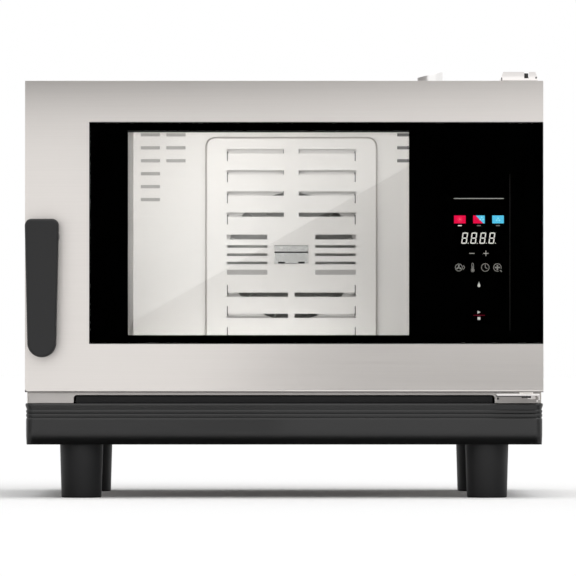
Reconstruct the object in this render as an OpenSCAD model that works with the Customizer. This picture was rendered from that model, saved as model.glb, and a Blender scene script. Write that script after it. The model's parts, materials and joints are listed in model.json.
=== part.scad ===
// Counter-top combi steamer oven: four trays, full-width glass door hinged at the right
// Frame: millimetres, +Z up, the door faces -Y, origin on the floor under the middle of the whole object

/* [Cabinet] */
// Width of the cabinet and of the door
body_w = 760; // [750:1:790]
// Depth of the cabinet, without the door
cab_d = 630; // [620:1:680]
// Height of the cabinet above the skirt
cab_h = 471; // [468:1:490]
// Thickness of the steel sheet
sheet = 1.5; // [1.2:0.1:1.8]
// Height of the plastic skirt round the base
skirt_h = 61; // [56:1:68]
// Wall of the plastic skirt
skirt_t = 6; // [5:0.5:7]
// Reach of the rear connections behind the cabinet
rear_reach = 26; // [22:1:32]

/* [Legs] */
// Height from the floor to the skirt
leg_h = 79; // [70:1:110]
// Diameter of a leg at the skirt
leg_d = 64; // [58:1:68]
// Diameter of a leg at the floor
leg_foot_d = 59.5; // [54:0.5:60]
// Distance of a leg's axis from the cabinet's side
leg_inset_x = 79; // [70:1:90]
// Distance of a front leg's axis from the cabinet's front
leg_inset_y = 46; // [44:1:60]
// Distance between front and rear legs
leg_span = 480; // [440:1:500]

/* [Door] */
// Thickness of the door
door_t = 60; // [58:1:66]
// Gap between the door's back and the cabinet
door_gap = 14; // [13:0.5:18]
// Height of the door's top edge above the cabinet's top
door_over = 2.3; // [1.5:0.1:3]
// Gap between the skirt's top and the door's bottom edge
door_lift = 16.6; // [16:0.1:20]
// Width of the steel band at the left of the glass
band_left = 94; // [88:1:98]
// Height of the steel band above the glass
band_top = 60.4; // [56:0.2:64]
// Height of the steel band below the glass
band_bottom = 70.7; // [66:0.1:74]
// Thickness of the outer glass
glass_t = 5; // [4:0.5:6]
// Width of the black panel between the window and the door's right edge
panel_w = 197; // [190:1:210]
// Black border between the glass's top edge and the window
window_top = 15.2; // [14:0.2:20]
// Black border between the glass's left edge and the window
window_left = 57; // [54:1:62]
// Black border between the glass's bottom edge and the window
window_bottom = 13; // [12:0.5:16]
// Distance of the hinge axis from the door's right edge
hinge_in = 24; // [22:1:26]
// Radius of the hinge pins
pin_r = 5; // [4:0.5:6]

/* [Handle] */
// Length of the lever
handle_l = 202; // [180:1:230]
// Width of the lever at its top
handle_w = 50; // [46:1:52]
// Width of the lever at its free end
handle_end_w = 41; // [36:1:44]
// Thickness of the lever, front to back
handle_t = 26; // [22:1:28]
// Reach of the lever in front of the door
handle_proud = 55; // [50:1:65]
// Distance of the lever's middle from the door's left edge
handle_in = 26.5; // [26:0.5:30]
// Height of the lever's top above the door's bottom edge
handle_top = 253; // [240:1:270]

/* [Cavity] */
// Room between the cabinet's left side and the cavity
wall_left = 106; // [98:1:114]
// Room between the cavity and the cabinet's right side
wall_right = 84; // [78:1:90]
// Room between the cavity's ceiling and the cabinet's top
wall_top = 50; // [46:1:56]
// Room between the cavity and the cabinet's back
wall_back = 138.5; // [130:0.5:150]
// Height of the cavity's floor above the skirt
cavity_lift = 36; // [34:1:38]
// Radius of the cavity's corners
cavity_r = 16; // [14:1:24]
// Depth of the fan space behind the baffle
fan_space = 89; // [86:1:94]
// Width of the air gap at each side of the baffle
side_gap = 40.5; // [38:0.5:44]

/* [Fan and guard] */
// Diameter of the fan wheel
fan_d = 210; // [190:1:216]
// Diameter of the air inlet in the baffle
inlet_d = 200; // [180:1:204]
// Diameter of the heating rings, middle of the tube
heater_d = 280; // [270:1:300]
// Width of the raised guard
guard_w = 265; // [250:1:280]
// Room between the guard and the cavity's floor and ceiling
guard_room = 12.5; // [11:0.5:18]
// Rise of the guard in front of the baffle
guard_rise = 15; // [12:1:18]

/* [Flue] */
// Outer diameter of the flue
flue_d = 39; // [36:1:42]
// Height of the flue above the cabinet's top
flue_rise = 36; // [32:1:42]
// Distance of the flue's axis from the cavity's right wall
flue_in = 72; // [60:1:90]

/* [Hidden] */
$fn = 64;
eps = 0.02;
run_gap = 0.05;
free_gap = 0.3;
far = 2000;
half_w = body_w / 2;

// Levels above the floor
skirt_top = leg_h + skirt_h;
cab_top = skirt_top + cab_h;
pan_t = 3;
ledge_w = 12;
ledge_h = 6;

// Places from front to back
front_y = -(cab_d + rear_reach - door_gap - door_t - handle_proud) / 2;
back_y = front_y + cab_d;
rear_end = back_y + rear_reach;
door_y = front_y - door_gap - door_t;
door_back = door_y + door_t;

// Door outline
door_z0 = skirt_top + door_lift;
door_z1 = cab_top + door_over;
glass_x0 = -half_w + band_left;
glass_z0 = door_z0 + band_bottom;
glass_z1 = door_z1 - band_top;
glass_fit = 0.8;
glass_ledge = 11;
mask_t = 0.4;
lamp_gap = 18;
window_x0 = glass_x0 + window_left;
window_x1 = half_w - panel_w;
window_w = window_x1 - window_x0;
window_z0 = glass_z0 + window_bottom;
window_z1 = glass_z1 - window_top;
window_h = window_z1 - window_z0;
inner_glass_t = 4;
hinge_x = half_w - hinge_in;
hinge_y = door_y + door_t / 2;
bush_r = pin_r + 3;
bush_l = 25;
bush_flange_r = pin_r + 5;

// Cavity outline
cavity_x0 = -half_w + wall_left;
cavity_x1 = half_w - wall_right;
cavity_w = cavity_x1 - cavity_x0;
cavity_z0 = skirt_top + cavity_lift;
cavity_z1 = cab_top - wall_top;
cavity_h = cavity_z1 - cavity_z0;
cavity_back = back_y - wall_back;
fan_x = (cavity_x0 + cavity_x1) / 2;
fan_z = (cavity_z0 + cavity_z1) / 2;
baffle_y = cavity_back - fan_space;
baffle_x = cavity_w / 2 - side_gap;
baffle_room = 2.5;
baffle_z = cavity_h / 2 - baffle_room;
guard_h = cavity_h - 2 * guard_room;
wool_t = 30;
wool_back = cavity_back + sheet + wool_t;
seal_in = 3;
seal_w = 11;

// Door's inner pane covers the seal with a margin
pane_margin = seal_in + seal_w + 6;
pane_x0 = cavity_x0 - pane_margin;
pane_x1 = cavity_x1 + pane_margin;
pane_z0 = door_z0 + 3.4;
pane_z1 = cavity_z1 + pane_margin;

// Handle and latch
handle_x = -half_w + handle_in;
handle_z1 = door_z0 + handle_top;
handle_z0 = handle_z1 - handle_l;
pivot_z = handle_z1 - handle_w / 2;
spindle_r = 5;
pawl_reach = 26;
strike_head_r = 9;
strike_z = pivot_z - pawl_reach - strike_head_r - 2;

// Drip tray and its slot in the front
slot_in = 69;
slot_half = half_w - slot_in;
slot_h = 12;
slot_r = 5;
tray_d = 140;

// Control electronics in the door, between the window and the right edge
board_left = 62;
board_right = 34;
board_behind = 8.6;
chip_in = 20;
chip_rise = 60;
chip_h = 50;
display_left = 40;
display_right = 22;
display_h = 32;
board_x0 = window_x1 + board_left;
board_x1 = half_w - board_right;
board_depth = glass_t + mask_t + board_behind;

// Fan drive
shaft_r = 7;
hub_r = 22;
hub_back = 24;
hub_y0 = baffle_y + hub_back;
hub_l = 45;
motor_l = 80;
motor_r = 55;
heater_r = 5;
terminal_r = heater_r + 1.5;
motor_post = 48;
probe_rise = 110;

// Power electronics between the wool and the right side panel
plate_gap = 4;
plate_front = 80;
plate_l = 380;
plate_edge = 60;
plate_post = 15;
plate_x = cavity_x1 + sheet + wool_t + plate_gap;
plate_y0 = front_y + plate_front;
plate_y1 = plate_y0 + plate_l;
plate_z0 = skirt_top + plate_edge;
plate_z1 = cab_top - plate_edge;
power_t = 1.6;
power_in = 40;
power_l = 180;
power_edge = 60;
cap_r = 9;
cap_h = 40;
cap_pitch = 38;
cap_rise = 30;
sink_t = 14;
sink_h = 40;
sink_in = 20;
contactor_t = 24;
contactor_l = 60;
contactor_h = 80;
contactor_rise = 120;

// Levelling stud of a leg
stud_r = 5;
nut_r = 18;
nut_h = 19;
leg_top = skirt_top - pan_t - nut_h;

// Rear connections
drain_back = 230;
drain_rise = 29;
drain_y = front_y + drain_back;
drain_r = 20;
spigot_r = 19;
drain_wall = 3;
drain_z = leg_h + drain_rise;
duct_half = drain_r + 2;
duct_x = [fan_x - duct_half, fan_x + duct_half];
duct_mouth = [drain_y - duct_half, drain_y + duct_half];
duct_z = [drain_z - drain_r, drain_z + drain_r];
duct_end = back_y - 26;
inlet_r = 13.2;
inlet_in = 130;
inlet_x = -half_w + inlet_in;
gland_in = 60;
gland_x = -half_w + gland_in;
rear_rise = 60;
rear_z = skirt_top + rear_rise;
cool_in = 70;
cool_x = half_w - cool_in;
cool_drop = 90;
cool_z = cab_top - cool_drop;
cool_half = 46;
cool_d = 25;
flue_back = 350;
flue_x = cavity_x1 - flue_in;
flue_y = front_y + flue_back;

// Box between two corners
module box(x, y, z) {
    translate([x[0], y[0], z[0]]) cube([x[1] - x[0], y[1] - y[0], z[1] - z[0]]);
}

// Round bar along Y
module y_bar(x, z, y, r) {
    translate([x, y[0], z]) rotate([-90, 0, 0]) cylinder(r = r, h = y[1] - y[0]);
}

// Round bar along Z
module z_bar(x, y, z, r) {
    translate([x, y, z[0]]) cylinder(r = r, h = z[1] - z[0]);
}

// Round bar along X
module x_bar(y, z, x, r) {
    translate([x[0], y, z]) rotate([0, 90, 0]) cylinder(r = r, h = x[1] - x[0]);
}

// Flat outline drawn in X and Z, given a depth in Y
module y_plate(y) {
    translate([0, y[1], 0]) rotate([90, 0, 0]) linear_extrude(y[1] - y[0]) children();
}

// Rectangle with round corners
module round_rect(x, y, r) {
    translate([x[0] + r, y[0]]) square([x[1] - x[0] - 2 * r, y[1] - y[0]]);
    translate([x[0], y[0] + r]) square([x[1] - x[0], y[1] - y[0] - 2 * r]);
    for (cx = [x[0] + r, x[1] - r], cy = [y[0] + r, y[1] - r]) translate([cx, cy]) circle(r);
}

// Cavity's outline, grown by a margin
module cavity_outline(grow) {
    round_rect([cavity_x0 - grow, cavity_x1 + grow], [cavity_z0 - grow, cavity_z1 + grow], cavity_r + grow);
}

// Footprint of the base, grown by a margin
module footprint(grow) {
    corner_r = max(14 + grow, 2);
    round_rect([-half_w - grow, half_w + grow], [front_y - grow, back_y + grow], corner_r);
}

// Repeats its children at the four legs' axes
module at_legs() {
    for (x = [-half_w + leg_inset_x, half_w - leg_inset_x])
        for (y = [front_y + leg_inset_y, front_y + leg_inset_y + leg_span]) translate([x, y, 0]) children();
}

// Room round the drain from its upright part to the back
module drain_notch(z) {
    room = drain_r + 1;
    box([fan_x - room, fan_x + room], [drain_y, back_y + 10], z);
}

// Floor of the machine space, held on the skirt's ledge, with a notch that lets the drain in from the back
module base_pan() {
    color("gainsboro") difference() {
        inset = skirt_t + 0.5;
        translate([0, 0, skirt_top - pan_t]) linear_extrude(pan_t) footprint(-inset);
        z_bar(fan_x, drain_y, [0, far], drain_r + 1);
        drain_notch([0, far]);
    }
}

// Black plastic surround with a lip, two ribs, a plain face and a notch for the drain at the back
module base_skirt() {
    // Each step: part of the height where it starts, and how far it stands out from the cabinet
    steps = [[0, -0.5], [0.05, 2], [0.59, 0.5], [0.64, 1.9],
        [0.69, 0.5], [0.75, 1.9], [0.825, 0.5], [0.91, 2.9]];
    color("#3a3a3c") difference() {
        for (i = [0 : len(steps) - 1]) {
            z0 = leg_h + skirt_h * steps[i][0];
            z1 = leg_h + skirt_h * (i < len(steps) - 1 ? steps[i + 1][0] : 1);
            translate([0, 0, z0]) linear_extrude(z1 - z0) footprint(steps[i][1]);
        }
        translate([0, 0, leg_h - 1]) linear_extrude(skirt_h - pan_t - ledge_h + 1) footprint(-skirt_t);
        translate([0, 0, leg_h]) linear_extrude(skirt_h - pan_t) footprint(-skirt_t - ledge_w);
        translate([0, 0, skirt_top - pan_t]) linear_extrude(pan_t + 1) footprint(-skirt_t);
        drain_notch([leg_h - 1, drain_z + drain_r + 1]);
    }
}

// Side wall of the cabinet, on the skirt
module side_panel(x) {
    box([x, x + sheet], [front_y, back_y], [skirt_top, cab_top - sheet]);
}

module left_side_panel() {
    color("silver") side_panel(-half_w);
}

module right_side_panel() {
    color("silver") side_panel(half_w - sheet);
}

// Roof of the cabinet with the flue's hole
module top_panel() {
    color("silver") difference() {
        box([-half_w, half_w], [front_y, back_y], [cab_top - sheet, cab_top]);
        z_bar(flue_x, flue_y, [0, far], flue_d / 2 + 1);
    }
}

// Back wall with the cooling fan's grille and the holes for the connections
module rear_panel() {
    slat_n = 7;
    slat_pitch = 2 * (cool_half - 8) / (slat_n - 1);
    slat_h = 5;
    color("silver") difference() {
        box([-half_w + sheet, half_w - sheet], [back_y - sheet, back_y], [skirt_top, cab_top - sheet]);
        for (i = [0 : slat_n - 1]) {
            rise = -cool_half + 8 + i * slat_pitch;
            half = sqrt(pow(cool_half - 3, 2) - pow(rise, 2));
            box([cool_x - half, cool_x + half], [back_y - 5, back_y + 5],
                [cool_z + rise - slat_h / 2, cool_z + rise + slat_h / 2]);
        }
        y_bar(inlet_x, rear_z, [back_y - 5, back_y + 5], inlet_r - 1.8);
        y_bar(gland_x, rear_z, [back_y - 5, back_y + 5], 10.2);
    }
}

// Front plate round the cavity's mouth, with the drip tray's slot in its lower strip
module front_frame() {
    color("silver") y_plate([front_y, front_y + sheet]) difference() {
        translate([-half_w + sheet, skirt_top]) square([body_w - 2 * sheet, cab_h - sheet]);
        cavity_outline(0);
        round_rect([-slot_half, slot_half], [skirt_top - 3 * slot_r, skirt_top + slot_h], slot_r);
    }
}

// Holes that the cavity's fittings need in the liner and in the wool round it
module cavity_holes(extra) {
    y_bar(fan_x, fan_z, [cavity_back - 10, back_y], shaft_r + 5 + extra);
    for (x = heater_ends())
        y_bar(x, heater_end_z(), [cavity_back - 10, back_y], terminal_r + free_gap + extra);
    y_bar(steam_x(), steam_z(), [cavity_back - 10, back_y], 4 + free_gap + extra);
    z_bar(fan_x, drain_y, [0, cavity_z0 + 10], drain_r - 3 + extra);
    z_bar(flue_x, flue_y, [cavity_z1 - 10, far], flue_d / 2 - 2 + extra);
    x_bar(probe_y(), probe_z(), [cavity_x1 - 10, half_w], 3 + free_gap + extra);
}

// Welded steel box of the cavity
module cavity_liner() {
    color("lightgray") difference() {
        y_plate([front_y + sheet, cavity_back + sheet]) cavity_outline(sheet);
        y_plate([front_y, cavity_back]) cavity_outline(0);
        cavity_holes(0);
    }
}

// Four studs on the cavity's back that carry the baffle
module baffle_studs() {
    stud_x = baffle_x - 30;
    stud_z = baffle_z - 14;
    color("silver") for (x = [-stud_x, stud_x], z = [-stud_z, stud_z])
        y_bar(fan_x + x, fan_z + z, [baffle_y + sheet, cavity_back], 5);
}

// Mineral wool on all sides of the liner but the front
module insulation() {
    color("khaki") difference() {
        box([cavity_x0 - sheet - wool_t, cavity_x1 + sheet + wool_t], [front_y + sheet, wool_back],
            [skirt_top, cavity_z1 + sheet + wool_t]);
        y_plate([front_y, cavity_back + sheet]) cavity_outline(sheet);
        box([-far, far], [front_y, front_y + tray_d + 15], [0, skirt_top + slot_h + 4]);
        cavity_holes(8);
        for (x = [-motor_post, motor_post], z = [-motor_post, motor_post])
            y_bar(fan_x + x, fan_z + z, [cavity_back, back_y], 5);
    }
}

// Silicone seal on the front frame; the door's inner pane closes on it
module door_gasket() {
    seal_t = door_gap - inner_glass_t - free_gap;
    color("dimgray") y_plate([front_y - seal_t, front_y]) difference() {
        cavity_outline(seal_in + seal_w);
        cavity_outline(seal_in);
    }
}

// Flat wall between the cavity and the fan, with slots in its upper corners and the fan's inlet
module air_baffle() {
    slot_l = 29.5;
    slot_t = 4.9;
    slot_pitch = 20;
    outer_x = baffle_x - 12 - slot_l;
    columns = [[outer_x, 6], [outer_x - 39.5, 3]];
    color("lightgray") y_plate([baffle_y, baffle_y + sheet]) difference() {
        round_rect([fan_x - baffle_x, fan_x + baffle_x], [fan_z - baffle_z, fan_z + baffle_z], 6);
        translate([fan_x, fan_z]) circle(inlet_d / 2);
        for (column = columns, i = [0 : column[1] - 1], side = [-1, 1])
            translate([fan_x + side * (column[0] + slot_l / 2), fan_z + baffle_z - 6 - i * slot_pitch])
                square([slot_l, slot_t], center = true);
    }
}

// Guard's outline, drawn in by an inset
module guard_outline(corner_r, inset) {
    half_x = guard_w / 2 - inset;
    half_z = guard_h / 2 - inset;
    round_rect([fan_x - half_x, fan_x + half_x], [fan_z - half_z, fan_z + half_z], corner_r - inset);
}

// Raised louvred cover over the fan's inlet
module fan_guard() {
    corner_r = 15;
    row_n = 4;
    row_mid = -1.3;
    row_first = 61.7;
    row_last = guard_h / 2 - 20.6;
    row_pitch = (row_last - row_first) / (row_n - 1);
    row_end = 99.4;
    row_short = 37;
    row_t = 6.6;
    tick_w = 1.6;
    tick_l = 15;
    side_rows = [[27.2, 7.7], [12.6, 4.2], [0, 4.2], [-12.8, 4.2], [-27.1, 7.7]];
    color("lightgray") difference() {
        y_plate([baffle_y - guard_rise, baffle_y]) guard_outline(corner_r, 0);
        y_plate([baffle_y - guard_rise + sheet, baffle_y + 1]) guard_outline(corner_r, sheet);
        y_plate([baffle_y - guard_rise - 1, baffle_y - guard_rise + sheet + 1])
            translate([fan_x, fan_z + row_mid]) {
            for (i = [0 : row_n - 1], up = [-1, 1], side = [-1, 1]) {
                z = up * (row_first + i * row_pitch);
                inner = up > 0 ? 11.5 : 5;
                translate([side * (inner + row_end) / 2, z]) square([row_end - inner, row_t], center = true);
                translate([side * (row_end - tick_w / 2), z - up * tick_l / 2])
                    square([tick_w, tick_l], center = true);
            }
            for (row = side_rows, side = [-1, 1])
                translate([side * (row_short + row_end) / 2, row[0]])
                    square([row_end - row_short, row[1]], center = true);
        }
    }
}

// Quick-release catch in the middle of the guard: a plate with two finger tabs and two notches
module guard_catch() {
    plate_t = 4;
    half_x = 26;
    half_z = 14;
    drop = 1.3;
    tab_x = 13.5;
    tab_w = 5;
    tab_out = 6;
    fold_z = 2;
    notch_x = 15;
    notch_w = 11;
    notch_h = 3;
    front = baffle_y - guard_rise - plate_t;
    color("silver") translate([fan_x, front, fan_z - drop]) difference() {
        union() {
            box([-half_x, half_x], [0, plate_t], [-half_z, half_z]);
            for (side = [-1, 1]) translate([side * tab_x, 0, 0])
                box([-tab_w / 2, tab_w / 2], [-tab_out, eps], [fold_z + 1, half_z]);
        }
        box([-half_x - 1, half_x + 1], [-1, 1], [fold_z, fold_z + 1]);
        for (side = [-1, 1]) translate([side * notch_x, 0, 0])
            box([-notch_w / 2, notch_w / 2], [-1, plate_t + 1], [-half_z - 1, -half_z + notch_h]);
    }
}

// Places of the heater's two ends, the steam pipe and the probe
function heater_ends() = [fan_x - 60, fan_x + 60];
function heater_end_z() = fan_z - sqrt(pow(heater_d / 2, 2) - 60 * 60);
function steam_x() = fan_x - (fan_d / 4 + heater_d / 4) * cos(50);
function steam_z() = fan_z + (fan_d / 4 + heater_d / 4) * sin(50);
function probe_y() = baffle_y - 22;
function probe_z() = fan_z + probe_rise;

// Three heating rings round the fan, joined along the fan's axis by two ends that leave through the back
module heating_element() {
    ring_pitch = 20;
    flange_w = 150;
    flange_h = 24;
    first = baffle_y + hub_back + 1;
    color("gray") {
        for (i = [0 : 2]) translate([fan_x, first + i * ring_pitch, fan_z]) rotate([90, 0, 0])
            rotate_extrude() translate([heater_d / 2, 0]) circle(heater_r);
        for (x = heater_ends()) y_bar(x, heater_end_z(), [first - heater_r - 2, wool_back + 12], terminal_r);
        translate([fan_x, cavity_back, heater_end_z()])
            box([-flange_w / 2, flange_w / 2], [-2, 0], [-flange_h / 2, flange_h / 2]);
    }
}

// Fan motor behind the wool, on four posts from the liner
module fan_motor() {
    plate_t = 4;
    color("dimgray") difference() {
        union() {
            y_bar(fan_x, fan_z, [wool_back + plate_t - eps, wool_back + plate_t + motor_l], motor_r);
            box([fan_x - motor_post - 12, fan_x + motor_post + 12], [wool_back, wool_back + plate_t],
                [fan_z - motor_post - 12, fan_z + motor_post + 12]);
            for (x = [-motor_post, motor_post], z = [-motor_post, motor_post])
                y_bar(fan_x + x, fan_z + z, [cavity_back + sheet, wool_back + eps], 4);
        }
        y_bar(fan_x, fan_z, [wool_back - 1, wool_back + motor_l - 10], shaft_r + run_gap);
    }
}

// Shaft from the motor through the liner to the wheel, with a shoulder behind the hub
module motor_shaft() {
    color("silver") {
        y_bar(fan_x, fan_z, [hub_y0 - 14, wool_back + motor_l - 12], shaft_r);
        y_bar(fan_x, fan_z, [hub_y0 + hub_l, hub_y0 + hub_l + 5], shaft_r + 3);
    }
}

// Radial fan wheel: hub, back disc and straight blades
module fan_wheel() {
    blade_n = 24;
    blade_t = 1.5;
    disc_y = hub_y0 + hub_l - 4;
    fan_r = fan_d / 2;
    color("lightgray") difference() {
        union() {
            y_bar(fan_x, fan_z, [hub_y0, hub_y0 + hub_l], hub_r);
            y_bar(fan_x, fan_z, [disc_y, disc_y + 2], fan_r);
            translate([fan_x, 0, fan_z]) for (i = [0 : blade_n - 1]) rotate([0, i * 360 / blade_n, 0])
                box([fan_r - 34, fan_r - 1], [hub_y0 - 12, disc_y + eps], [-blade_t / 2, blade_t / 2]);
        }
        y_bar(fan_x, fan_z, [hub_y0 - 1, hub_y0 + hub_l + 1], shaft_r + run_gap / 2);
    }
}

// Hexagon nut that holds the wheel on its shaft
module fan_nut() {
    color("silver") difference() {
        translate([fan_x, hub_y0 - 10, fan_z]) rotate([-90, 0, 0]) cylinder(r = 13, h = 10, $fn = 6);
        y_bar(fan_x, fan_z, [hub_y0 - 11, hub_y0 + 1], shaft_r + run_gap / 2);
    }
}

// Water pipe that sprays into the fan's stream
module steam_injector() {
    color("silver") difference() {
        union() {
            y_bar(steam_x(), steam_z(), [baffle_y + 40, wool_back + 14], 4);
            y_bar(steam_x(), steam_z(), [cavity_back - 2, cavity_back], 9);
        }
        y_bar(steam_x(), steam_z(), [baffle_y + 39, wool_back + 15], 2.5);
    }
}

// Upright part of the drain, from the cavity's floor down to the duct
module drain_stub() {
    floor_z = cavity_z0 - sheet;
    color("dimgray") difference() {
        union() {
            z_bar(fan_x, drain_y, [duct_z[1], floor_z], drain_r);
            z_bar(fan_x, drain_y, [floor_z - 2, floor_z], drain_r + 4);
            box(duct_x, duct_mouth, [duct_z[1], duct_z[1] + drain_wall]);
        }
        z_bar(fan_x, drain_y, [duct_z[1] - 1, floor_z + 1], drain_r - drain_wall);
    }
}

// Square duct of the drain under the base pan, open upwards at the stub and backwards at the pipe
module drain_duct() {
    inner_x = [duct_x[0] + drain_wall, duct_x[1] - drain_wall];
    inner_z = [duct_z[0] + drain_wall, duct_z[1] - drain_wall];
    inner_y = duct_mouth[0] + drain_wall;
    color("dimgray") difference() {
        box(duct_x, [duct_mouth[0], duct_end], duct_z);
        box(inner_x, [inner_y, duct_end + 1], inner_z);
        box(inner_x, [inner_y, duct_mouth[1]], [inner_z[1] - 1, duct_z[1] + 1]);
    }
}

// Round end of the drain, from the duct out at the back
module drain_pipe() {
    color("dimgray") difference() {
        union() {
            box(duct_x, [duct_end, duct_end + drain_wall], duct_z);
            y_bar(fan_x, drain_z, [duct_end, back_y + 3], drain_r);
            y_bar(fan_x, drain_z, [back_y, rear_end], spigot_r);
        }
        y_bar(fan_x, drain_z, [duct_end - 1, rear_end + 1], drain_r - drain_wall);
    }
}

// Sieve over the drain
module drain_strainer() {
    hole_n = 8;
    color("silver") difference() {
        union() {
            z_bar(fan_x, drain_y, [cavity_z0, cavity_z0 + 2], drain_r + 8);
            z_bar(fan_x, drain_y, [cavity_z0 - 8, cavity_z0 + eps], drain_r - 4);
        }
        z_bar(fan_x, drain_y, [cavity_z0 - 9, cavity_z0 - 1], drain_r - 6);
        for (i = [0 : hole_n - 1]) translate([fan_x, drain_y, 0]) rotate(i * 360 / hole_n)
            z_bar(drain_r - 10, 0, [cavity_z0 - 9, cavity_z0 + 3], 2.5);
    }
}

// Mitred steam outlet on the roof
module exhaust_flue() {
    top = cab_top + flue_rise;
    foot = cavity_z1 + sheet;
    mitre = 13;
    r = flue_d / 2;
    color("gainsboro") difference() {
        union() {
            z_bar(flue_x, flue_y, [foot, top], r);
            z_bar(flue_x, flue_y, [foot, foot + 2], r + 6);
        }
        z_bar(flue_x, flue_y, [foot - 1, top + 1], r - 2);
        translate([flue_x + r, flue_y, top]) rotate([0, -mitre, 0])
            box([-4 * r, 4 * r], [-2 * r, 2 * r], [0, 4 * r]);
    }
}

// Hanging side rack: two posts with wall pegs and four tray rails; side is -1 for the left
module tray_rack(side) {
    rail_n = 4;
    rail_pitch = 70;
    rail_first = 64;
    rail_w = 32;
    wall_x = side < 0 ? cavity_x0 : cavity_x1;
    post_x = wall_x - side * 9;
    rail_x = side < 0 ? [wall_x + 2, wall_x + 2 + rail_w] : [wall_x - 2 - rail_w, wall_x - 2];
    posts = [front_y + 60, baffle_y - 60];
    color("silver") {
        for (y = posts) {
            z_bar(post_x, y, [cavity_z0 + 12, cavity_z1 - 24], 4);
            for (z = [cavity_z0 + 40, cavity_z1 - 40])
                x_bar(y, z, side < 0 ? [wall_x, post_x] : [post_x, wall_x], 3);
        }
        for (i = [0 : rail_n - 1]) {
            z = cavity_z0 + rail_first + i * rail_pitch;
            box(rail_x, [front_y + 40, baffle_y - 40], [z, z + 1.5]);
            box(side < 0 ? [rail_x[0], rail_x[0] + 1.5] : [rail_x[1] - 1.5, rail_x[1]],
                [front_y + 40, baffle_y - 40], [z, z + 14]);
        }
    }
}

module left_tray_rack() {
    tray_rack(-1);
}

module right_tray_rack() {
    tray_rack(1);
}

// Temperature probe through the right wall
module cavity_probe() {
    color("silver") {
        x_bar(probe_y(), probe_z(), [cavity_x1 - 28, cavity_x1 + sheet + wool_t + 3], 3);
        x_bar(probe_y(), probe_z(), [cavity_x1 - 3, cavity_x1], 7);
    }
}

// Solenoid valve on the back wall with its hose thread
module water_inlet_valve() {
    inner = back_y - sheet;
    color("white") difference() {
        union() {
            y_bar(inlet_x, rear_z, [back_y, rear_end], inlet_r);
            y_bar(inlet_x, rear_z, [back_y, back_y + 3], inlet_r + 4);
            y_bar(inlet_x, rear_z, [inner - 1, back_y + 1], inlet_r - 2);
            box([inlet_x - 20, inlet_x + 20], [inner - 34, inner], [rear_z - 20, rear_z + 26]);
        }
        y_bar(inlet_x, rear_z, [inner - 20, rear_end + 1], inlet_r - 4);
    }
}

// Mains cable's gland on the back wall
module cable_gland() {
    nut_t = 6;
    color("#2b2b2b") difference() {
        union() {
            y_bar(gland_x, rear_z, [back_y - sheet - 8, back_y + 22], 10);
            for (y = [back_y, back_y - sheet - nut_t])
                translate([gland_x, y, rear_z]) rotate([-90, 0, 0]) cylinder(r = 15, h = nut_t, $fn = 6);
        }
        y_bar(gland_x, rear_z, [back_y - sheet - 9, back_y + 23], 7);
    }
}

// Carrier of the power electronics, on four posts from the right side panel
module electronics_plate() {
    color("silver") {
        box([plate_x, plate_x + sheet], [plate_y0, plate_y1], [plate_z0, plate_z1]);
        for (y = [plate_y0 + plate_post, plate_y1 - plate_post])
            for (z = [plate_z0 + plate_post, plate_z1 - plate_post])
                x_bar(y, z, [plate_x + sheet - eps, half_w - sheet], 5);
    }
}

// Power board on the carrier
module power_board() {
    face = plate_x + sheet;
    y0 = plate_y0 + power_in;
    z = [plate_z0 + power_edge, plate_z1 - power_edge];
    cap_x = face + power_t + cap_r - 0.6;
    cap_z = z[0] + cap_rise;
    sink_z = z[1] - cap_rise;
    color("darkgreen") {
        box([face, face + power_t], [y0, y0 + power_l], z);
        for (i = [0 : 3]) z_bar(cap_x, y0 + cap_rise + i * cap_pitch, [cap_z, cap_z + cap_h], cap_r);
        box([face + power_t - eps, face + sink_t], [y0 + sink_in, y0 + power_l - sink_in],
            [sink_z - sink_h, sink_z]);
    }
}

// Heater's contactor on the carrier
module contactor() {
    face = plate_x + sheet;
    foot_t = 16;
    foot_out = 6;
    foot_in = 15;
    y1 = plate_y1 - contactor_l;
    y0 = y1 - contactor_l;
    z0 = plate_z0 + contactor_rise;
    z1 = z0 + contactor_h;
    color("#d8d8d0") {
        box([face, face + contactor_t], [y0, y1], [z0, z1]);
        box([face, face + foot_t], [y0 - foot_out, y1 + foot_out], [z0 + foot_in, z1 - foot_in]);
    }
}

// Frame of the cooling fan with its motor spider and spindle
module cooling_fan_housing() {
    y1 = back_y - sheet;
    y0 = y1 - cool_d;
    color("#222222") {
        difference() {
            box([cool_x - cool_half, cool_x + cool_half], [y0, y1], [cool_z - cool_half, cool_z + cool_half]);
            y_bar(cool_x, cool_z, [y0 - 1, y1 + 1], cool_half - 3);
        }
        y_bar(cool_x, cool_z, [y0, y0 + 3], 14);
        y_bar(cool_x, cool_z, [y0, y1 - 3], 3);
        translate([cool_x, 0, cool_z]) for (i = [0 : 2]) rotate([0, 120 * i, 0])
            box([10, cool_half - 2], [y0, y0 + 2.5], [-3, 3]);
    }
}

// Rotor of the cooling fan
module cooling_fan_rotor() {
    y0 = back_y - sheet - cool_d + 3 + free_gap;
    y1 = back_y - sheet - 3;
    blade_n = 7;
    blade_pitch = 40;
    color("#333333") difference() {
        union() {
            y_bar(cool_x, cool_z, [y0, y1], 16);
            translate([cool_x, (y0 + y1) / 2, cool_z]) for (i = [0 : blade_n - 1])
                rotate([0, i * 360 / blade_n, 0]) rotate([blade_pitch, 0, 0])
                    box([12, cool_half - 6], [-0.8, 0.8], [-10, 10]);
        }
        y_bar(cool_x, cool_z, [y0 - 1, y1 + 1], 3 + run_gap);
    }
}

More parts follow.
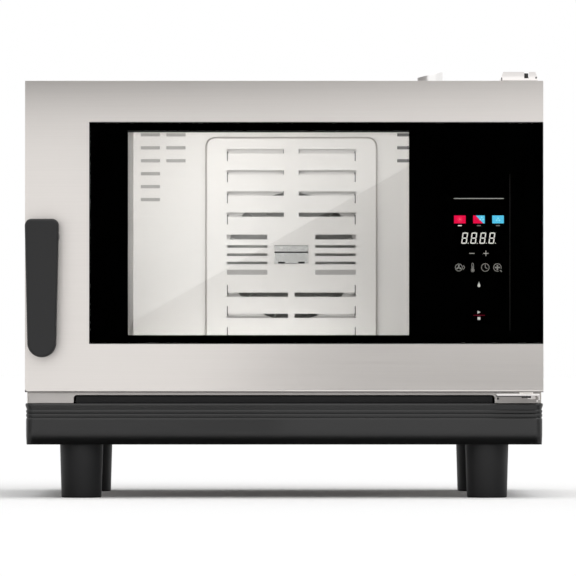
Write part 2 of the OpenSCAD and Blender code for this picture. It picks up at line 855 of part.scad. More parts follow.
// Folded bracket on the roof that holds the upper hinge pin
module top_hinge_bracket() {
    plate_z = door_z1 + 1;
    plate_top = plate_z + 3.3;
    wing_h = 9.4;
    wing_y = hinge_y - 17;
    x0 = hinge_x - 37.7;
    x1 = hinge_x + 16.4;
    notch = 3.5;
    color("silver") {
        difference() {
            union() {
                box([x0, x1], [wing_y, front_y + 58], [plate_z, plate_top]);
                box([x0, x1], [front_y + 4, front_y + 58], [cab_top, plate_z + eps]);
            }
            z_bar(hinge_x, hinge_y, [plate_z - 1, plate_top + 1], pin_r + run_gap);
        }
        difference() {
            y_plate([wing_y, wing_y + 2.5]) polygon([[x0, plate_top - eps], [x1, plate_top - eps],
                [x1 - 3.5, plate_top + wing_h], [x0 + 3.5, plate_top + wing_h]]);
            box([hinge_x - notch, hinge_x + notch], [wing_y - 1, wing_y + 4], [plate_top, far]);
        }
    }
}

// Bracket on the front frame's lower strip that carries the lower hinge pin
module bottom_hinge_bracket() {
    plate_top = door_z0 - 2.6;
    plate_z = plate_top - 3;
    x0 = hinge_x - 43.5;
    x1 = hinge_x + 19;
    color("silver") difference() {
        union() {
            box([x0, x1], [hinge_y - 18, front_y], [plate_z, plate_top]);
            box([x0, x1], [front_y - 3, front_y], [plate_top - 12, plate_top]);
            box([x1 - 2, x1], [hinge_y - 18, front_y], [plate_top - 9, plate_top]);
        }
        z_bar(hinge_x, hinge_y, [plate_z - 1, plate_top + 1], pin_r + run_gap);
    }
}

// Upper and lower hinge pins, each with a head on its bracket
module hinge_pins() {
    top_plate = door_z1 + 1 + 3.3;
    low_plate = door_z0 - 2.6;
    color("gray") {
        z_bar(hinge_x, hinge_y, [door_z1 - bush_l + 2, top_plate + 1.5], pin_r);
        z_bar(hinge_x, hinge_y, [top_plate, top_plate + 1.5], pin_r + 2);
        z_bar(hinge_x, hinge_y, [top_plate + 1, top_plate + 8], 3.2);
        z_bar(hinge_x, hinge_y, [low_plate - 6, door_z0 + bush_l - 2], pin_r);
        z_bar(hinge_x, hinge_y, [low_plate - 6, low_plate - 3], pin_r + 2);
    }
}

// Flanged bushes in the door's top and bottom walls
module hinge_bushes() {
    color("#c9b37a") {
        difference() {
            union() {
                z_bar(hinge_x, hinge_y, [door_z1 - bush_l, door_z1], bush_r);
                z_bar(hinge_x, hinge_y, [door_z1 - sheet - 2, door_z1 - sheet], bush_flange_r);
            }
            z_bar(hinge_x, hinge_y, [door_z1 - bush_l - 1, door_z1 + 1], pin_r + run_gap);
        }
        difference() {
            union() {
                z_bar(hinge_x, hinge_y, [door_z0, door_z0 + bush_l], bush_r);
                z_bar(hinge_x, hinge_y, [door_z0 - 2.6 + free_gap, door_z0], bush_flange_r);
            }
            z_bar(hinge_x, hinge_y, [door_z0 - 3, door_z0 + bush_l + 1], pin_r + run_gap);
        }
    }
}

// Mushroom stud on the front frame that the latch closes on
module latch_strike() {
    color("silver") {
        y_bar(handle_x, strike_z, [front_y - 2, front_y], 14);
        y_bar(handle_x, strike_z, [door_back - 14, front_y - 1], 6);
        y_bar(handle_x, strike_z, [door_back - 16, door_back - 12], strike_head_r);
    }
}

// Screws of the back wall and of the upper hinge bracket
module casing_screws() {
    head_r = 4;
    head_t = 2.5;
    color("gray") {
        for (x = [-half_w + 14, -half_w / 3, half_w / 3, half_w - 14], z = [skirt_top + 14, cab_top - 14])
            y_bar(x, z, [back_y, back_y + head_t], head_r);
        for (x = [hinge_x - 26, hinge_x + 6])
            z_bar(x, front_y + 36, [door_z1 + 4.3, door_z1 + 4.3 + head_t], head_r);
    }
}

// Threaded bosses under the base pan
module leg_nuts() {
    color("gray") at_legs() difference() {
        translate([0, 0, leg_top + free_gap]) cylinder(r = nut_r, h = skirt_top - pan_t - leg_top - free_gap);
        translate([0, 0, leg_top]) cylinder(r = stud_r + run_gap, h = skirt_top - pan_t - leg_top - 0.5);
    }
}

// One leg: tapered foot, straight upper part and the levelling stud
module leg(x, y) {
    color("#303032") translate([x, y, 0]) {
        cylinder(d1 = leg_foot_d, d2 = leg_d, h = leg_h);
        translate([0, 0, leg_h - eps]) cylinder(d = leg_d, h = leg_top - leg_h + eps);
        translate([0, 0, leg_top - eps]) cylinder(r = stud_r, h = skirt_top - pan_t - leg_top - 1);
    }
}

module leg_front_left() {
    leg(-half_w + leg_inset_x, front_y + leg_inset_y);
}

module leg_front_right() {
    leg(half_w - leg_inset_x, front_y + leg_inset_y);
}

module leg_rear_left() {
    leg(-half_w + leg_inset_x, front_y + leg_inset_y + leg_span);
}

module leg_rear_right() {
    leg(half_w - leg_inset_x, front_y + leg_inset_y + leg_span);
}

// Folded steel skin: three front bands, four edges and a ledge behind the glass
module door_skin() {
    ledge_y = door_y + glass_t + mask_t;
    color("silver") {
        difference() {
            box([-half_w, half_w], [door_y, door_back], [door_z0, door_z1]);
            box([-half_w + sheet, half_w - sheet], [door_y + sheet, door_back + 1],
                [door_z0 + sheet, door_z1 - sheet]);
            box([glass_x0, half_w + 1], [door_y - 1, ledge_y], [glass_z0, glass_z1]);
            z_bar(hinge_x, hinge_y, [door_z0 - 1, door_z1 + 1], bush_r + run_gap);
            y_bar(handle_x, pivot_z, [door_y - 1, door_y + 5], 9 + run_gap);
        }
        y_plate([ledge_y, ledge_y + sheet]) difference() {
            translate([glass_x0 - sheet, glass_z0 - sheet])
                square([half_w - sheet / 2 - glass_x0 + sheet, glass_z1 - glass_z0 + 2 * sheet]);
            translate([glass_x0 + glass_ledge, glass_z0 + glass_ledge])
                square([half_w - glass_x0 - 2 * glass_ledge, glass_z1 - glass_z0 - 2 * glass_ledge]);
        }
        y_plate([door_y + sheet / 2, ledge_y + sheet / 2]) difference() {
            translate([glass_x0 - sheet, glass_z0 - sheet])
                square([half_w - sheet / 2 - glass_x0 + sheet, glass_z1 - glass_z0 + 2 * sheet]);
            translate([glass_x0, glass_z0]) square([body_w, glass_z1 - glass_z0]);
        }
    }
}

// Pan that closes the door's back, with a window, the latch's hole and posts for the control board
module door_inner_pan() {
    pan_y = door_back - sheet;
    margin = 14;
    post_x = [board_x0 + 8, board_x1 - 8];
    post_z = [glass_z0 + 24, glass_z1 - 24];
    color("silver") {
        y_plate([pan_y, door_back]) difference() {
            translate([-half_w + sheet, door_z0 + sheet])
                square([body_w - 2 * sheet, door_z1 - door_z0 - 2 * sheet]);
            round_rect([window_x0 - margin, window_x1 + margin], [window_z0 - 7, window_z1 + 7], 6);
            translate([handle_x, strike_z]) circle(15);
        }
        for (x = post_x, z = post_z) y_bar(x, z, [door_y + board_depth + power_t, pan_y + eps], 3);
    }
}

// Outer pane, flush with the steel and with the door's right edge
module outer_glass() {
    color("#202428", 0.5) box([glass_x0 + glass_fit, half_w], [door_y, door_y + glass_t],
        [glass_z0 + glass_fit, glass_z1 - glass_fit]);
}

// Black print behind the outer pane, open at the window
module glass_mask() {
    color("#050505") y_plate([door_y + glass_t, door_y + glass_t + mask_t]) difference() {
        translate([glass_x0 + glass_fit, glass_z0 + glass_fit])
            square([half_w - glass_x0 - glass_fit, glass_z1 - glass_z0 - 2 * glass_fit]);
        translate([window_x0, window_z0]) square([window_w, window_h]);
    }
}

// Inner pane that meets the seal
module inner_glass() {
    color("#c8d8d8", 0.4) box([pane_x0, pane_x1], [door_back, door_back + inner_glass_t], [pane_z0, pane_z1]);
}

// Clip that holds the inner pane on the pan: a foot beside the pane and a lip behind it
module glass_clip(side, z) {
    foot = 7;
    lip = 3;
    half = 10;
    back = door_back + inner_glass_t;
    translate([side < 0 ? pane_x0 : pane_x1, 0, z]) mirror([side < 0 ? 0 : 1, 0, 0]) {
        box([-foot, 0], [door_back, back + 2], [-half, half]);
        box([-foot, lip], [back, back + 2], [-half, half]);
    }
}

module glass_clips() {
    color("silver") for (side = [-1, 1], z = [pane_z0 + 50, pane_z1 - 50]) glass_clip(side, z);
}

// Touch control board behind the glass
module control_board() {
    depth = door_y + board_depth;
    color("darkgreen") {
        box([board_x0, board_x1], [depth, depth + power_t], [glass_z0 + 14, glass_z1 - 14]);
        box([board_x0 + chip_in, board_x1 - chip_in], [depth + power_t - eps, depth + 9],
            [glass_z0 + chip_rise, glass_z0 + chip_rise + chip_h]);
    }
}

// Four-digit display between the print and the board
module display_module() {
    x = (board_x0 + board_x1) / 2;
    z = (glass_z0 + glass_z1) / 2 - 8;
    color("#1a0a0a") box([x - display_left, x + display_right],
        [door_y + glass_t + mask_t, door_y + board_depth], [z - display_h / 2, z + display_h / 2]);
}

// Lamp strip beside the window, on the pan
module lamp_strip() {
    x1 = window_x0 - lamp_gap;
    side = 14;
    color("white") box([x1 - side, x1], [door_back - sheet - side, door_back - sheet],
        [window_z0 + 10, window_z1 - 10]);
}

// Bush with a round plate that the handle's spindle turns in
module handle_bush() {
    color("#2c2c2e") difference() {
        union() {
            y_bar(handle_x, pivot_z, [door_y - 2, door_y], handle_w / 2 - 1);
            y_bar(handle_x, pivot_z, [door_y - 1, door_y + 20], 9);
        }
        y_bar(handle_x, pivot_z, [door_y - 3, door_y + 21], spindle_r + run_gap);
    }
}

// Lever: a tapered bar with a boss at its top
module door_handle() {
    corner_r = 10;
    end_r = handle_end_w / 2;
    half = handle_w / 2;
    front = door_y - handle_proud;
    color("#3c3c3e") difference() {
        union() {
            y_plate([front, front + handle_t]) translate([handle_x, 0]) {
                polygon([[half - corner_r, handle_z1], [half, handle_z1 - corner_r],
                    [end_r, handle_z0 + end_r], [-end_r, handle_z0 + end_r],
                    [-half, handle_z1 - corner_r], [-half + corner_r, handle_z1]]);
                translate([0, handle_z0 + end_r]) circle(end_r);
                for (side = [-1, 1])
                    translate([side * (half - corner_r), handle_z1 - corner_r]) circle(corner_r);
            }
            y_bar(handle_x, pivot_z, [front + handle_t - 1, door_y - 2 - free_gap], half - 3);
        }
        y_bar(handle_x, pivot_z, [front + 10, door_y], spindle_r + run_gap / 2);
    }
}

// Spindle through the door with a shoulder for the pawl
module handle_spindle() {
    pawl_y = door_back - 16;
    color("gray") {
        y_bar(handle_x, pivot_z, [door_y - handle_proud + 10, door_back - 5], spindle_r);
        y_bar(handle_x, pivot_z, [pawl_y - 4, pawl_y], spindle_r + 3);
    }
}

// Pawl on the spindle's end; it turns past the strike's head
module latch_pawl() {
    y0 = door_back - 16;
    color("silver") difference() {
        union() {
            y_bar(handle_x, pivot_z, [y0, y0 + 8], 13);
            box([handle_x - 8, handle_x + 8], [y0, y0 + 8], [pivot_z - pawl_reach + 8, pivot_z]);
            y_bar(handle_x, pivot_z - pawl_reach + 8, [y0, y0 + 8], 8);
        }
        y_bar(handle_x, pivot_z, [y0 - 1, y0 + 9], spindle_r + run_gap / 2);
    }
}

// Shallow tray that catches the door's drips, in the slot above the skirt
module drip_tray() {
    wall = 1.5;
    x = slot_half - 3;
    y = [front_y + 3, front_y + 3 + tray_d];
    z = [skirt_top + free_gap, skirt_top + slot_h - 1.5];
    color("#2a2a2a") difference() {
        box([-x, x], y, z);
        box([-x + wall, x - wall], [y[0] + wall, y[1] - wall], [z[0] + wall, z[1] + 1]);
    }
}

base_pan();
base_skirt();
left_side_panel();
right_side_panel();
top_panel();
rear_panel();
front_frame();
cavity_liner();
insulation();
door_gasket();
baffle_studs();
air_baffle();
fan_guard();
guard_catch();
heating_element();
fan_motor();
steam_injector();
drain_stub();
drain_duct();
drain_pipe();
drain_strainer();
exhaust_flue();
left_tray_rack();
right_tray_rack();
cavity_probe();
water_inlet_valve();
cable_gland();
electronics_plate();
power_board();
contactor();
cooling_fan_housing();
top_hinge_bracket();
bottom_hinge_bracket();
hinge_pins();
latch_strike();
casing_screws();
leg_nuts();
door_skin();
door_inner_pan();
outer_glass();
glass_mask();
inner_glass();
glass_clips();
control_board();
display_module();
lamp_strip();
hinge_bushes();
handle_bush();
door_handle();
handle_spindle();
latch_pawl();
fan_wheel();
fan_nut();
motor_shaft();
cooling_fan_rotor();
drip_tray();
leg_front_left();
leg_front_right();
leg_rear_left();
leg_rear_right();
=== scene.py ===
# Looks of a counter-top combi steamer oven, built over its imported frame, in metres
import json
import math

import bmesh
import bpy
from mathutils import Matrix, Vector

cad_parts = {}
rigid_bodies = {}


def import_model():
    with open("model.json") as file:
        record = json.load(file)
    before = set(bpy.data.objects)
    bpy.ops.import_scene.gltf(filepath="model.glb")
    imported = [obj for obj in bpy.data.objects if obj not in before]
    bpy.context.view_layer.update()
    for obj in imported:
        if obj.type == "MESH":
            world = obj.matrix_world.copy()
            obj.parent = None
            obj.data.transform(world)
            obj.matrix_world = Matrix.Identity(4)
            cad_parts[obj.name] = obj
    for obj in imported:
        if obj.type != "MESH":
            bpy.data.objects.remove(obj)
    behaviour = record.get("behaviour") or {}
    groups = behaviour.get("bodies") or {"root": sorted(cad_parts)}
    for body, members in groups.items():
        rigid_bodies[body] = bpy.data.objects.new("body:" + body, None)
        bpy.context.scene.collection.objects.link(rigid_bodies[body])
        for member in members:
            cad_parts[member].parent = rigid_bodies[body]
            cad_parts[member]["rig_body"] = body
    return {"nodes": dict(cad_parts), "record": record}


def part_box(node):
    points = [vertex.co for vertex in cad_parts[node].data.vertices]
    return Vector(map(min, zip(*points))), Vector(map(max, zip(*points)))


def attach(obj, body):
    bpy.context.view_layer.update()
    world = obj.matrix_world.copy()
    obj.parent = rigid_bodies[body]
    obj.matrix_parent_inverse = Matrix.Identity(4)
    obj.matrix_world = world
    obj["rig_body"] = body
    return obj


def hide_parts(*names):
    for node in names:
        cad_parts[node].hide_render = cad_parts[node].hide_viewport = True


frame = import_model()
nodes = frame["nodes"]
slot_of = {part["node"]: part["material_slot"] for part in frame["record"]["subparts"]}
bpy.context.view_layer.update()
scene = bpy.context.scene
scene.view_settings.view_transform = "Standard"

# Camera: a long lens square to the door, 8.75 m in front of it and 188 mm above the floor.
# The horizon lies at row 370.8 and the oven's middle at column 284.2 of the 576 pixel picture.
picture = 576
focal = 5970
horizon_row = 370.8
middle_column = 284.2
eye_away = 8.75
eye_height = 0.188
door_low, door_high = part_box("door_skin")
eye = Vector((0, door_low.y - eye_away, eye_height))
camera_data = bpy.data.cameras.new("front_camera")
camera_data.sensor_width = 36
camera_data.lens = camera_data.sensor_width * focal / picture
camera_data.clip_end = 400
camera = bpy.data.objects.new("front_camera", camera_data)
camera.location = eye
tilt_up = math.atan((horizon_row - picture / 2) / focal)
turn_right = math.atan((picture / 2 - middle_column) / focal)
camera.rotation_euler = (math.pi / 2 + tilt_up, 0, -turn_right)
scene.collection.objects.link(camera)
scene.camera = camera


# Studio: white all round, a broad soft light from above and the front, and an endless sheet of
# white paper as the floor, which keeps the oven's shadow.
def background_ray(tree):
    """Socket that is 1 for rays that see the background: straight, in metal or through glass."""
    path = tree.nodes.new("ShaderNodeLightPath")
    socket = path.outputs["Is Camera Ray"]
    for name in ("Is Glossy Ray", "Is Transmission Ray"):
        either = tree.nodes.new("ShaderNodeMath")
        either.operation = "MAXIMUM"
        tree.links.new(socket, either.inputs[0])
        tree.links.new(path.outputs[name], either.inputs[1])
        socket = either.outputs[0]
    return socket


world = bpy.data.worlds.new("white_studio")
world.use_nodes = True
scene.world = world
sky = world.node_tree
sky.nodes.clear()
room_light = sky.nodes.new("ShaderNodeBackground")
room_light.inputs["Color"].default_value = (1, 1, 1, 1)
room_light.inputs["Strength"].default_value = 0.62
white_wall = sky.nodes.new("ShaderNodeBackground")
white_wall.inputs["Color"].default_value = (1, 1, 1, 1)
white_wall.inputs["Strength"].default_value = 1
wall_or_light = sky.nodes.new("ShaderNodeMixShader")
sky_out = sky.nodes.new("ShaderNodeOutputWorld")
sky.links.new(background_ray(sky), wall_or_light.inputs[0])
sky.links.new(room_light.outputs[0], wall_or_light.inputs[1])
sky.links.new(white_wall.outputs[0], wall_or_light.inputs[2])
sky.links.new(wall_or_light.outputs[0], sky_out.inputs["Surface"])


def finish(name, colour, spread=0.05, rough=(0.4, 0.5), grain=(400, 400, 400), relief=0.0, constants=None):
    """Finish whose tone, gloss and relief follow one noise, with grain in lines per metre along X, Y, Z."""
    material = bpy.data.materials.new(name)
    material.use_nodes = True
    tree = material.node_tree
    shader = tree.nodes["Principled BSDF"]
    for socket, value in (constants or {}).items():
        shader.inputs[socket].default_value = value
    place = tree.nodes.new("ShaderNodeTexCoord")
    stretch = tree.nodes.new("ShaderNodeMapping")
    stretch.inputs["Scale"].default_value = grain
    noise = tree.nodes.new("ShaderNodeTexNoise")
    noise.inputs["Scale"].default_value = 1
    noise.inputs["Detail"].default_value = 5
    tone = tree.nodes.new("ShaderNodeMix")
    tone.data_type = "RGBA"
    tone.inputs[6].default_value = [max(channel * (1 - spread), 0) for channel in colour] + [1]
    tone.inputs[7].default_value = [min(channel * (1 + spread), 1) for channel in colour] + [1]
    gloss = tree.nodes.new("ShaderNodeMapRange")
    gloss.inputs["To Min"].default_value = rough[0]
    gloss.inputs["To Max"].default_value = rough[1]
    tree.links.new(place.outputs["Object"], stretch.inputs["Vector"])
    tree.links.new(stretch.outputs["Vector"], noise.inputs["Vector"])
    tree.links.new(noise.outputs["Fac"], tone.inputs[0])
    tree.links.new(tone.outputs[2], shader.inputs["Base Color"])
    tree.links.new(noise.outputs["Fac"], gloss.inputs["Value"])
    tree.links.new(gloss.outputs[0], shader.inputs["Roughness"])
    if relief:
        bump = tree.nodes.new("ShaderNodeBump")
        bump.inputs["Strength"].default_value = 1
        bump.inputs["Distance"].default_value = relief
        tree.links.new(noise.outputs["Fac"], bump.inputs["Height"])
        tree.links.new(bump.outputs["Normal"], shader.inputs["Normal"])
    return material


def stage_sheet(name, corners, material):
    """Flat sheet of the studio, given by its corners in order."""
    bm = bmesh.new()
    bm.faces.new([bm.verts.new(corner) for corner in corners])
    mesh = bpy.data.meshes.new(name)
    bm.to_mesh(mesh)
    bm.free()
    mesh.materials.append(material)
    sheet = bpy.data.objects.new(name, mesh)
    scene.collection.objects.link(sheet)
    return sheet


paper = finish("white_paper", (0.96, 0.96, 0.96), 0.01, (0.9, 1), (40, 40, 40),
               constants={"Specular IOR Level": 0})
paper_half = 150
stage_sheet("paper_floor", [(-paper_half, -paper_half, 0), (paper_half, -paper_half, 0),
                            (paper_half, paper_half, 0), (-paper_half, paper_half, 0)], paper)


def sun(name, strength, spread, rotation):
    """Soft distant light; its spread is the angle that it fills."""
    light = bpy.data.lights.new(name, "SUN")
    light.energy = strength
    light.angle = math.radians(spread)
    lamp = bpy.data.objects.new(name, light)
    lamp.rotation_euler = [math.radians(angle) for angle in rotation]
    scene.collection.objects.link(lamp)
    return lamp


sun("overhead_light", 1.35, 70, (20, 14, 0))
sun("front_fill", 0.3, 60, (62, 0, 20))


# Studio cards, which only mirrors see: black cloth round the camera and a window light with a slanted edge
# for the door's glass, a dark flag above and a dark board low at the right for its steel, a lit strip under
# its foot, and for the skirt a dark sheet on the floor, a lit fill in front and dim flags at its sides.
def reflected(name, corners, material):
    """Sheet that shows in reflections alone."""
    card = stage_sheet(name, corners, material)
    card.visible_camera = False
    card.visible_diffuse = False
    card.visible_shadow = False
    return card


def upright(left, right, y, foot, top):
    """Corners of a card that faces the camera."""
    return [(left, y, foot), (right, y, foot), (right, y, top), (left, y, top)]


def sideways(x, front, back, foot, top):
    """Corners of a card that faces left or right."""
    return [(x, front, foot), (x, back, foot), (x, back, top), (x, front, top)]


def lying(left, right, front, back, z):
    """Corners of a card that lies flat."""
    return [(left, back, z), (left, front, z), (right, front, z), (right, back, z)]


def in_mirror(on_glass, behind):
    """Corners of a card by the camera that the glass mirrors where the given points (X, Z) lie on it."""
    return [(2 * x - eye.x, eye.y - behind, 2 * z - eye.z) for x, z in on_glass]


def lamp_finish(name, colour, strength):
    """Glowing surface."""
    material = finish(name, (0.02, 0.02, 0.02))
    shader = material.node_tree.nodes["Principled BSDF"]
    shader.inputs["Emission Color"].default_value = (*colour, 1)
    shader.inputs["Emission Strength"].default_value = strength
    return material


glass_low, glass_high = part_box("outer_glass")
print_left = 0.0562
print_right = 0.197
print_foot = 0.0122
print_top = 0.0144
window_low = Vector((glass_low.x + print_left, 0, glass_low.z + print_foot))
window_high = Vector((door_high.x - print_right, 0, glass_high.z - print_top))
card_margin = 0.04
card_left = glass_low.x - card_margin
card_right = glass_high.x + card_margin
card_foot = glass_low.z - card_margin
card_top = glass_high.z + card_margin
black_cloth = finish("black_cloth", (0, 0, 0), rough=(0.9, 1), constants={"Specular IOR Level": 0})
cloth_behind = 0.06
reflected("black_card", in_mirror([(card_left, card_foot), (card_right, card_foot),
                                   (card_right, card_top), (card_left, card_top)], cloth_behind), black_cloth)
light_behind = 0.04
slant_left = 0.2584
slant_right = 0.4888
reflected("window_light", in_mirror([(window_low.x, slant_left), (window_high.x, slant_right),
                                     (window_high.x, window_high.z), (window_low.x, window_high.z)],
                                    light_behind), lamp_finish("window_glow", (1, 1, 0.98), 0.52))
flag_y = door_low.y - 0.4
flag_half = 0.8
flag_left_foot = 0.618
flag_right_foot = 0.672
flag_top = 0.95
reflected("top_flag", [(-flag_half, flag_y, flag_left_foot), (flag_half, flag_y, flag_right_foot),
                       (flag_half, flag_y, flag_top), (-flag_half, flag_y, flag_top)], black_cloth)
board_y = door_low.y - 0.6
board_foot = 0.11
board_top = glass_low.z
board_left_foot = -0.07
board_left_top = 0.03
board_right = 3
reflected("low_board", [(board_left_foot, board_y, board_foot), (board_right, board_y, board_foot),
                        (board_right, board_y, board_top), (board_left_top, board_y, board_top)], black_cloth)
sheet_half = 0.6
sheet_front = door_low.y - 0.05
sheet_back = door_low.y + 0.2
sheet_z = 0.001
reflected("floor_sheet", lying(-sheet_half, sheet_half, sheet_front, sheet_back, sheet_z), black_cloth)
glow_z = door_low.z - 0.0005
glow_front = door_low.y + 0.008
reflected("door_foot_glow", lying(door_low.x, door_high.x, glow_front, door_high.y, glow_z),
          lamp_finish("foot_glow", (1, 1, 1), 1.6))
fill_y = door_low.y - 0.05
fill_right = 0.45
fill_foot = 0.02
fill_top = 0.135
reflected("skirt_fill", upright(0, fill_right, fill_y, fill_foot, fill_top),
          lamp_finish("skirt_fill_glow", (1, 1, 1), 1.05))
side_away = 0.5
side_front = door_low.y - 0.9
side_top = 0.15
for name, side_x, glow in (("left_flag", door_low.x - side_away, 0.1),
                           ("right_flag", door_high.x + side_away, 0.35)):
    reflected(name, sideways(side_x, side_front, door_high.y, 0, side_top),
              lamp_finish(name + "_glow", (1, 1, 1), glow))


# Base skirt: an injection-moulded black plastic surround with an overhanging lip, two rounded ribs and
# a plain face that curves in towards its foot. It hangs round the legs and carries the base pan.
def piece(name, bm, material, body, slot, *stands_for):
    """Turns a finished mesh into a piece of the oven that rides on a body."""
    mesh = bpy.data.meshes.new(name)
    bm.to_mesh(mesh)
    bm.free()
    mesh.materials.append(material)
    mesh.shade_smooth()
    mesh.set_sharp_from_angle(angle=math.radians(40))
    made = bpy.data.objects.new(name, mesh)
    scene.collection.objects.link(made)
    even = made.modifiers.new("flat_faces", "WEIGHTED_NORMAL")
    even.keep_sharp = True
    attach(made, body)
    if stands_for:
        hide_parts(*stands_for)
    return made


def bevel(bm, edges, width, segments=3, affect="EDGES"):
    """Rounds edges or corners."""
    bmesh.ops.bevel(bm, geom=edges, offset=width, offset_type="OFFSET", affect=affect, segments=segments,
                    profile=0.5, material=-1, clamp_overlap=True)


def hard_edges(bm, angle):
    """Edges between two faces that meet at more than an angle in degrees."""
    return [edge for edge in bm.edges
            if len(edge.link_faces) == 2 and edge.calc_face_angle() > math.radians(angle)]


def verts_of(geom):
    """Vertices among the elements that an operator made."""
    return [item for item in geom if isinstance(item, bmesh.types.BMVert)]


weld = 0.000002
skirt_low, skirt_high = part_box("base_skirt")
roof_low, roof_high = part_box("top_panel")
skirt_h = skirt_high.z - skirt_low.z
skirt_corner = 0.0095
skirt_wall = 0.009
lip_out = skirt_high.x - roof_high.x
face_out = lip_out - 0.001
groove_out = lip_out - 0.0022
# Outset from the cabinet's sides and share of the height, from the lip down over two crowned ribs
skirt_profile = [(-skirt_wall, 1), (lip_out - 0.0008, 1), (lip_out - 0.0002, 0.98), (lip_out, 0.95),
                 (groove_out + 0.0003, 0.86), (groove_out, 0.845), (face_out - 0.0004, 0.84),
                 (face_out, 0.815), (face_out, 0.795), (groove_out + 0.0006, 0.765), (groove_out, 0.755),
                 (face_out - 0.0004, 0.745), (face_out, 0.72), (face_out, 0.695),
                 (groove_out + 0.0006, 0.665), (groove_out, 0.65), (face_out - 0.0004, 0.635),
                 (face_out - 0.0001, 0.61), (face_out, 0.58)]
turn_share = 0.36
turn_steps = 12
skirt_profile += [(face_out, turn_share * (1 - step / turn_steps)) for step in range(turn_steps + 1)]
skirt_profile += [(-skirt_wall, 0), (-skirt_wall, 1)]
front_tuck = 0.008
side_tuck = 0.0008


def set_out(verts, outset, share):
    """Moves a loop of the footprint to an outset and a height; the foot turns in, most at the front."""
    turned = max(1 - share / turn_share, 0)
    tucked = turned ** 2
    for vert in verts:
        inner = Vector((min(max(vert.co.x, roof_low.x + skirt_corner), roof_high.x - skirt_corner),
                        min(max(vert.co.y, roof_low.y + skirt_corner), roof_high.y - skirt_corner)))
        way = (vert.co.xy - inner).normalized()
        tuck = tucked * (side_tuck + (front_tuck - side_tuck) * max(-way.y, 0) ** 3)
        reach = skirt_corner + max(outset - tuck, -skirt_wall)
        vert.co = (*(inner + way * reach), skirt_low.z + share * skirt_h)


bm = bmesh.new()
footprint = [(roof_low.x, roof_low.y), (roof_high.x, roof_low.y),
             (roof_high.x, roof_high.y), (roof_low.x, roof_high.y)]
bm.faces.new([bm.verts.new((x, y, skirt_high.z)) for x, y in footprint])
bevel(bm, bm.verts[:], skirt_corner, 8, "VERTICES")
bmesh.ops.delete(bm, geom=bm.faces[:], context="FACES_ONLY")
loop = bm.edges[:]
set_out(bm.verts, *skirt_profile[0])
for outset, share in skirt_profile[1:]:
    made = bmesh.ops.extrude_edge_only(bm, edges=loop)["geom"]
    new_verts = set(verts_of(made))
    loop = [item for item in made
            if isinstance(item, bmesh.types.BMEdge) and new_verts.issuperset(item.verts)]
    set_out(new_verts, outset, share)
bmesh.ops.remove_doubles(bm, verts=bm.verts, dist=weld)
bmesh.ops.recalc_face_normals(bm, faces=bm.faces)
skirt_edge = 0.0003
bevel(bm, hard_edges(bm, 25), skirt_edge, 2)
black_plastic = finish("black_plastic", (0.005, 0.005, 0.0052), 0.12, (0.28, 0.34), (1400, 1400, 1400),
                       0.000008, {"Specular IOR Level": 0.55})
piece("ribbed_skirt", bm, black_plastic, "cabinet", slot_of["base_skirt"], "base_skirt")

# Legs: turned-looking black plastic feet, a little wider at the top, with a rounded rim on the floor.
# Each screws up and down on a steel stud to level the oven.
leg_plastic = finish("leg_plastic", (0.010, 0.010, 0.0105), 0.15, (0.45, 0.55), (1200, 1200, 1200), 0.00002,
                     {"Specular IOR Level": 0.3})
foot_r = 0.02975
leg_r = 0.032
rim_r = 0.0025
stud_r = 0.005
stud_l = 0.018
leg_steps = 72
for name in ("leg_front_left", "leg_front_right", "leg_rear_left", "leg_rear_right"):
    leg_low, leg_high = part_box(name)
    axis = (leg_low + leg_high) / 2
    shoulder = leg_high.z - stud_l
    leg_line = [(0, 0), (foot_r, 0), (leg_r, skirt_low.z), (leg_r, shoulder), (stud_r, shoulder),
                (stud_r, leg_high.z), (0, leg_high.z)]
    bm = bmesh.new()
    turned = [bm.verts.new((axis.x + r, axis.y, z)) for r, z in leg_line]
    outline = [bm.edges.new(pair) for pair in zip(turned, turned[1:])]
    bmesh.ops.spin(bm, geom=turned + outline, cent=(axis.x, axis.y, 0), axis=(0, 0, 1), angle=math.tau,
                   steps=leg_steps, use_merge=True)
    bmesh.ops.remove_doubles(bm, verts=bm.verts, dist=weld)
    bmesh.ops.recalc_face_normals(bm, faces=bm.faces)
    bevel(bm, [edge for edge in hard_edges(bm, 30) if edge.verts[0].co.z < rim_r], rim_r, 4)
    piece(name + "_turned", bm, leg_plastic, name, slot_of[name], name)


# Cabinet: folded panels of brushed stainless steel, screwed together at the back.
# The front frame round the cavity's mouth has the drip tray's slot in its lower strip.
def copy_of(node):
    """Copy of a frame node's mesh, with its points merged and its flat faces joined."""
    bm = bmesh.new()
    bm.from_mesh(nodes[node].data)
    bmesh.ops.remove_doubles(bm, verts=bm.verts, dist=weld)
    bmesh.ops.dissolve_limit(bm, angle_limit=math.radians(0.5), verts=bm.verts, edges=bm.edges)
    return bm


def eased(node, material, width=0.0003, segments=2, angle=30, rim=0.0, foot=0.0):
    """Copy of a frame node with rounded edges, which stands for it; rim rounds the edges of its outer box,
    and foot the lowest one at the front."""
    low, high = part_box(node)
    near = 0.00002
    bm = copy_of(node)
    if rim:
        def sides(edge):
            return sum(all(abs(vert.co[i] - plane[i]) < near for vert in edge.verts)
                       for i in range(3) for plane in (low, high))
        outer = [edge for edge in hard_edges(bm, angle) if sides(edge) == 2]
        lowest = [edge for edge in outer if all(vert.co.y < low.y + near and vert.co.z < low.z + near
                                                for vert in edge.verts)]
        bevel(bm, lowest, foot, 6)
        bevel(bm, [edge for edge in hard_edges(bm, angle) if sides(edge) == 2], rim, 4)
    bevel(bm, hard_edges(bm, angle), width, segments)
    return piece(node + "_eased", bm, material, nodes[node]["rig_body"], slot_of[node], node)


